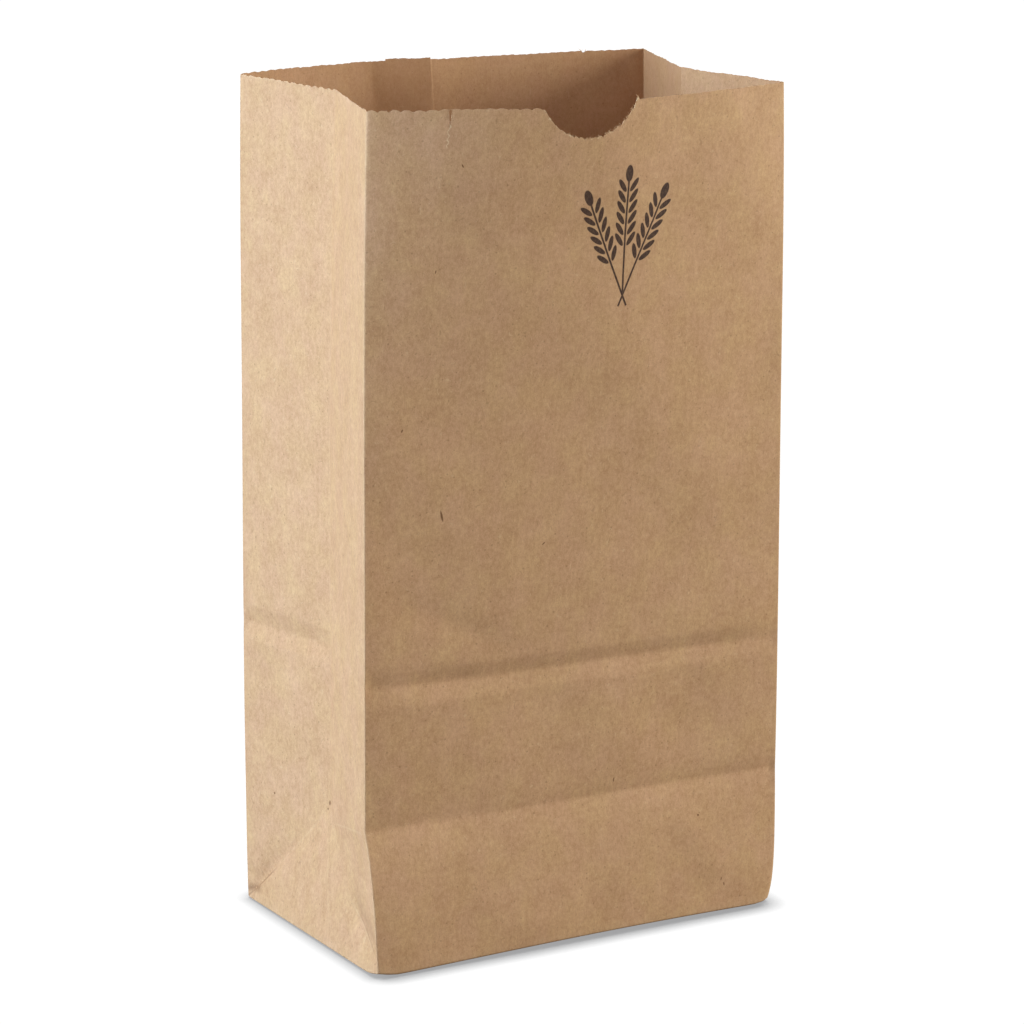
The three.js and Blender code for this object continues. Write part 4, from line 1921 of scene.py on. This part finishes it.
    def _darkened(self, flat: Flat) -> Wire:
        """Gives where bark and dark fibres darken the paper, and shade painted into tight creases and a
        pit.

        Args:
            flat: The flat sheet.

        Returns:
            How far it leans to the colour of the specks.
        """
        specks_and_shade = (flat.specks(1.8, 0.3, 5.0) * 0.5).most(flat.specks(23.0, 0.6, 47.0, slim=4.0) * 0.4)
        for fleck in self.flecks:
            specks_and_shade = specks_and_shade.most(fleck.mask(flat) * 1.4)
        # Painted shade in the bottoms of tight creases.
        for mark in self.crease_shade:
            specks_and_shade = specks_and_shade.most(mark.mask(flat))
        return (specks_and_shade * 0.6).most(flat.hairs(2.6, 0.06, 19.0, 0.36) * 0.2)

    def _browned(self, flat: Flat, sizes: BagSizes, layout: Layout) -> tuple[Wire, Wire]:
        """Gives how far the bag's inside leans to its two darker tones: painted shade, and a darker band
        across the lap.

        Args:
            flat: The flat sheet.
            sizes: The bag's driving sizes.
            layout: Where the sheet lies on the flat layout.

        Returns:
            The share of the painted shade inside, and the share of the darker tone by the lap and rear
            fold.
        """
        # Painted shade: the whole inner face of the sheet leans to the darker inside tone.
        inside = 1.0 - flat.v.within((layout.inner[1] - layout.outer[1]) / MM - 5.0, self.EDGE)
        inside = inside * self._on_sheet(flat, sizes)
        from_lap = flat.u - sizes.seam_edges[0] / MM
        # Darker on the inside across the lap, fading out within about ten millimetres past it.
        pasted = from_lap.within(24.0, 10.0) * (0.0 - from_lap).within(0.05, 0.1)
        # Painted shade on the inside: darker from the right side's crease to just past the lap, darkest
        # beside the right rear fold.
        past_crease = (sizes.right_crease / MM - flat.u).within(0.15, 0.3)
        over_back = inside * past_crease * from_lap.within(44.0, 20.0)
        corner = abs(flat.u - sizes.back_start / MM).within(26.0, 26.0) * over_back
        lap_dark_and_corner_shade = (inside * pasted * self.lap_share).most(corner * self.corner_shade_share)
        return inside * self.inside_shade_share + over_back * self.rear_shade_share, lap_dark_and_corner_shade

    def material(self, sizes: BagSizes, layout: Layout, wheat: WheatPrint) -> bpy.types.Material:
        """Makes the paper's material.

        Args:
            sizes: The bag's driving sizes.
            layout: Where the sheet lies on the flat layout.
            wheat: What is printed on the front.

        Returns:
            The material.
        """
        made, graph = NodeGraph.of_material("kraft_paper")
        flat = Flat(graph, layout)
        tone = self._tone(flat)
        hue = (flat.grain(8.0, 11.0, 101.0) - 0.5) * 3.0 + 0.5
        light = graph.blend(hue.clamped(), self.pinkish, self.yellowish)
        colour = graph.blend(tone.clamped(), self.dark, light)
        colour = graph.blend(self._darkened(flat), colour, self.speck_and_shade)
        pale_hairs = flat.hairs(1.7, 0.05, 83.0, 0.36).most(flat.specks(5.0, 0.3, 87.0, slim=3.0))
        colour = graph.blend((pale_hairs * 0.26).most(self._worn(flat, sizes)), colour, self.pale)
        # Painted shade inside the bag, and a darker band across the lap.
        inside_shade, lap_dark_and_corner_shade = self._browned(flat, sizes, layout)
        colour = graph.blend(inside_shade, colour, self.inside)
        colour = graph.blend(lap_dark_and_corner_shade, colour, self.lap_and_corner_tone)
        cover = wheat.mask(flat) * (0.97 + (flat.grain(0.5, 0.9, 97.0) - 0.5) * 0.3)
        colour = graph.blend(cover.clamped(), colour, wheat.ink)
        fine = flat.grain(0.28, 1.1, 41.0) * 0.6 + flat.grain(0.22, 0.25, 59.0, detail=1.0) * 0.4
        height = fine + pale_hairs * 0.4
        relief = {"Strength": self.BUMP_STRENGTH, "Distance": self.BUMP_HEIGHT, "Height": height}
        bump = graph.add("ShaderNodeBump", None, relief)
        rough = self.roughness + (flat.grain(1.5, 3.0, 61.0) - 0.5) * 0.18
        shader = graph.add("ShaderNodeBsdfPrincipled", None, {
            "Base Color": colour,
            "Roughness": rough,
            "Normal": bump.outputs[0],
            "Specular IOR Level": self.GLOSS,
        })
        graph.add("ShaderNodeOutputMaterial", None, {0: shader.outputs[0]})
        return made


@dataclass(frozen=True)
class FibreFinish:
    """Bare paper fibres, paler than the paper's face.

    Attributes:
        dark: Their darker tone.
        light: Their lighter tone.
    """

    dark: Rgb = srgb(172, 126, 86)
    light: Rgb = srgb(212, 168, 122)

    SPOT = 1.2 * MM
    ROUGHNESS = 0.8

    def material(self) -> bpy.types.Material:
        """Makes the fibres' material.

        Returns:
            The material.
        """
        made, graph = NodeGraph.of_material("bare_fibre")
        place = graph.add("ShaderNodeTexCoord").outputs["Object"]
        inputs = {"Vector": place, "Scale": 1 / self.SPOT, "Detail": 1.0}
        tone = graph.wire("ShaderNodeTexNoise", None, inputs)
        colour = graph.blend(tone, self.dark, self.light)
        looks = {"Base Color": colour, "Roughness": self.ROUGHNESS}
        shader = graph.add("ShaderNodeBsdfPrincipled", None, looks)
        graph.add("ShaderNodeOutputMaterial", None, {0: shader.outputs[0]})
        return made


@dataclass(frozen=True)
class Lamp:
    """A soft box that points at the bag.

    Attributes:
        name: What it is for.
        place: Where it stands.
        size: Its width and height.
        power: Its power in watts.
        colour: The colour of its light.
    """

    name: str
    place: tuple[float, float, float]
    size: float
    power: float
    colour: Rgb = WHITE

    def build(self, aim: Vector) -> None:
        """Sets the lamp up.

        Args:
            aim: What it points at.
        """
        light = bpy.data.lights.new(self.name, "AREA")
        light.shape = "SQUARE"
        light.size = self.size
        light.energy = self.power
        light.color = self.colour
        lamp = linked(self.name, light)
        lamp.location = self.place
        lamp.rotation_mode = "QUATERNION"
        lamp.rotation_quaternion = (aim - Vector(self.place)).to_track_quat("-Z", "Y")


@dataclass(frozen=True)
class Studio:
    """The plain white studio: floor, surroundings, lamps and camera.

    Attributes:
        azimuth: Where the camera stands round the bag.
        elevation: How far it looks down.
        roll: How far it is turned about its own axis.
        distance: How far it is from its aim.
        aim: What it looks at.
        lens: Its focal length in millimetres.
        ambient: The light from all around, warm from paper and wood nearby.
        floor_reach: Half of the floor's width.
        lit_side_from: How far left of the bag's middle the painted contact shadow turns lighter and
            narrower, on the key lamp's side.
        lamps: Its lamps.
    """

    azimuth: float = math.radians(-29.685)
    elevation: float = math.radians(13.572)
    roll: float = math.radians(0.067)
    distance: float = 1047.14 * MM
    aim: tuple[float, float, float] = (-0.217 * MM, -0.862 * MM, 106.705 * MM)
    lens: float = 141.64
    ambient: Rgb = (0.25, 0.16, 0.085)
    floor_reach: float = 6.0
    lit_side_from: float = 59.0 * MM
    lamps: tuple[Lamp, ...] = (
        Lamp("key_from_left", (-1.140, 0.020, 0.478), 0.7, 23.4, (0.69, 1.0, 1.33)),
        Lamp("fill_from_right", (0.917, -0.573, 0.499), 0.5, 15.3, (0.82, 1.0, 1.05)),
        Lamp("fill_from_behind", (0.42, 1.40, 0.60), 0.9, 11.0, (0.80, 1.0, 1.10)),
    )

    SENSOR = 36.0
    CLIP = (0.05, 50.0)
    CONTACT_REACH = 6.2 * MM
    CONTACT_SHADE = (0.35, 0.35, 0.355)
    LIT_CONTACT_REACH = 4.8 * MM
    LIT_CONTACT_SHADE = (0.45, 0.45, 0.455)
    CONTACT_SAMPLES = 6
    CLOSED = 0.41
    LIT_SIDE_BLEND = 8 * MM
    FLOOR_GLOW = 1.04
    FLOOR_BOUNCE = (0.2, 0.2, 0.2)

    def camera(self) -> None:
        """Sets up the camera at the photograph's angle."""
        data = bpy.data.cameras.new("camera")
        data.sensor_width = self.SENSOR
        data.lens = self.lens
        data.clip_start, data.clip_end = self.CLIP
        around = Vector((math.sin(self.azimuth), -math.cos(self.azimuth), 0.0))
        back = around * math.cos(self.elevation) + Vector((0.0, 0.0, math.sin(self.elevation)))
        made = linked("camera", data)
        made.location = Vector(self.aim) + back * self.distance
        made.rotation_mode = "QUATERNION"
        made.rotation_quaternion = (-back).to_track_quat("-Z", "Y") @ Quaternion((0, 0, 1), self.roll)
        bpy.context.scene.camera = made

    def _seen_directly(self, graph: NodeGraph) -> Wire:
        """Gives 1 for what the camera, a reflection or glass sees, and 0 for light that scatters.

        Args:
            graph: The graph that it is used in.

        Returns:
            1 or 0 for each ray.
        """
        path = graph.add("ShaderNodeLightPath")
        seen = Wire(graph, path.outputs["Is Camera Ray"]).most(Wire(graph, path.outputs["Is Glossy Ray"]))
        return seen.most(Wire(graph, path.outputs["Is Transmission Ray"]))

    def surroundings(self) -> None:
        """Makes the world: white to look at, and an even dim light on the bag."""
        world = bpy.data.worlds.new("studio")
        world.use_nodes = True
        graph = NodeGraph(world.node_tree)
        colour = graph.blend(self._seen_directly(graph), self.ambient, WHITE)
        light = graph.add("ShaderNodeBackground", None, {"Color": colour, "Strength": 1.0})
        graph.add("ShaderNodeOutputWorld", None, {0: light.outputs[0]})
        bpy.context.scene.world = world

    def _contact(self, graph: NodeGraph, reach: float, shade: Rgb) -> bpy.types.NodeSocket:
        """Gives the floor's tone close to the bag: a shadow painted from how near the bag is.

        Args:
            graph: The floor's graph.
            reach: How far from the bag the shade goes.
            shade: The tone where the floor touches the bag.

        Returns:
            The tone, white out of reach.
        """
        settings = {"samples": self.CONTACT_SAMPLES}
        near = graph.add("ShaderNodeAmbientOcclusion", settings, {"Distance": reach})
        open_share = (Wire(graph, near.outputs["AO"]) - self.CLOSED) / (1.0 - self.CLOSED)
        return graph.blend(open_share.clamped(), shade, WHITE)

    def floor(self) -> bpy.types.Object:
        """Makes the floor, white to look at, with the bag's contact shadow painted into its glow close
        round it.

        Returns:
            The floor's object.
        """
        reach = self.floor_reach
        mesh = bpy.data.meshes.new("floor")
        corners = [(-reach, -reach, 0), (reach, -reach, 0), (reach, reach, 0), (-reach, reach, 0)]
        mesh.from_pydata(corners, [], [(0, 1, 2, 3)])
        made, graph = NodeGraph.of_material("white_floor")
        shaded = graph.add("ShaderNodeBsdfDiffuse", None, {"Color": self.FLOOR_BOUNCE})
        place = graph.add("ShaderNodeNewGeometry").outputs["Position"]
        across = graph.wire("ShaderNodeSeparateXYZ", None, {0: place})
        blend = self.LIT_SIDE_BLEND
        beside = (0.0 - across).within(self.lit_side_from + blend / 2, blend)
        front = self._contact(graph, self.CONTACT_REACH, self.CONTACT_SHADE)
        lit = self._contact(graph, self.LIT_CONTACT_REACH, self.LIT_CONTACT_SHADE)
        # Painted contact shadow: lighter and narrower left of the bag, on the key lamp's side.
        painted_shadow_tone = graph.blend(beside, lit, front)
        glow = graph.add("ShaderNodeEmission", None, {"Color": painted_shadow_tone, "Strength": self.FLOOR_GLOW})
        share = self._seen_directly(graph)
        both = graph.add("ShaderNodeMixShader", None, {0: share, 1: shaded.outputs[0], 2: glow.outputs[0]})
        graph.add("ShaderNodeOutputMaterial", None, {0: both.outputs[0]})
        mesh.materials.append(made)
        return linked("floor", mesh)

    def build(self) -> None:
        """Builds the studio: its camera, surroundings, floor and lamps."""
        self.camera()
        self.surroundings()
        self.floor()
        for lamp in self.lamps:
            lamp.build(Vector(self.aim))


class PaperBag:
    """The whole bag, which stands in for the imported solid."""

    def __init__(self) -> None:
        """Sets up the sheet and its layout."""
        self.sizes = BagSizes()
        self.layout = Layout()
        self.sheet = FoldedSheet(self.sizes)

    def _dress(self, piece: bpy.types.Object, finish: bpy.types.Material) -> None:
        """Gives a piece its finish and its place in the frame.

        Args:
            piece: The piece.
            finish: Its material.
        """
        piece.data.materials.append(finish)
        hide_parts(NODE)
        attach(piece, BODY)
        LOG.info("%s: %d points, %d faces", piece.name, len(piece.data.vertices), len(piece.data.polygons))

    def build(self) -> None:
        """Builds and dresses every piece."""
        paper = KraftFinish().material(self.sizes, self.layout, WheatPrint())
        self._dress(BagWall(self.sheet, self.layout).build(), paper)
        self._dress(BaseFlaps(self.sheet, self.layout).build(), paper)
        self._dress(TornFibres(self.sheet).build(), FibreFinish().material())


def main() -> None:
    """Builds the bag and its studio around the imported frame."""
    logging.basicConfig(level=logging.INFO, format="%(name)s: %(message)s")
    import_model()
    bpy.context.scene.view_settings.view_transform = "Standard"
    PaperBag().build()
    Studio().build()


if __name__ == "__main__":
    main()
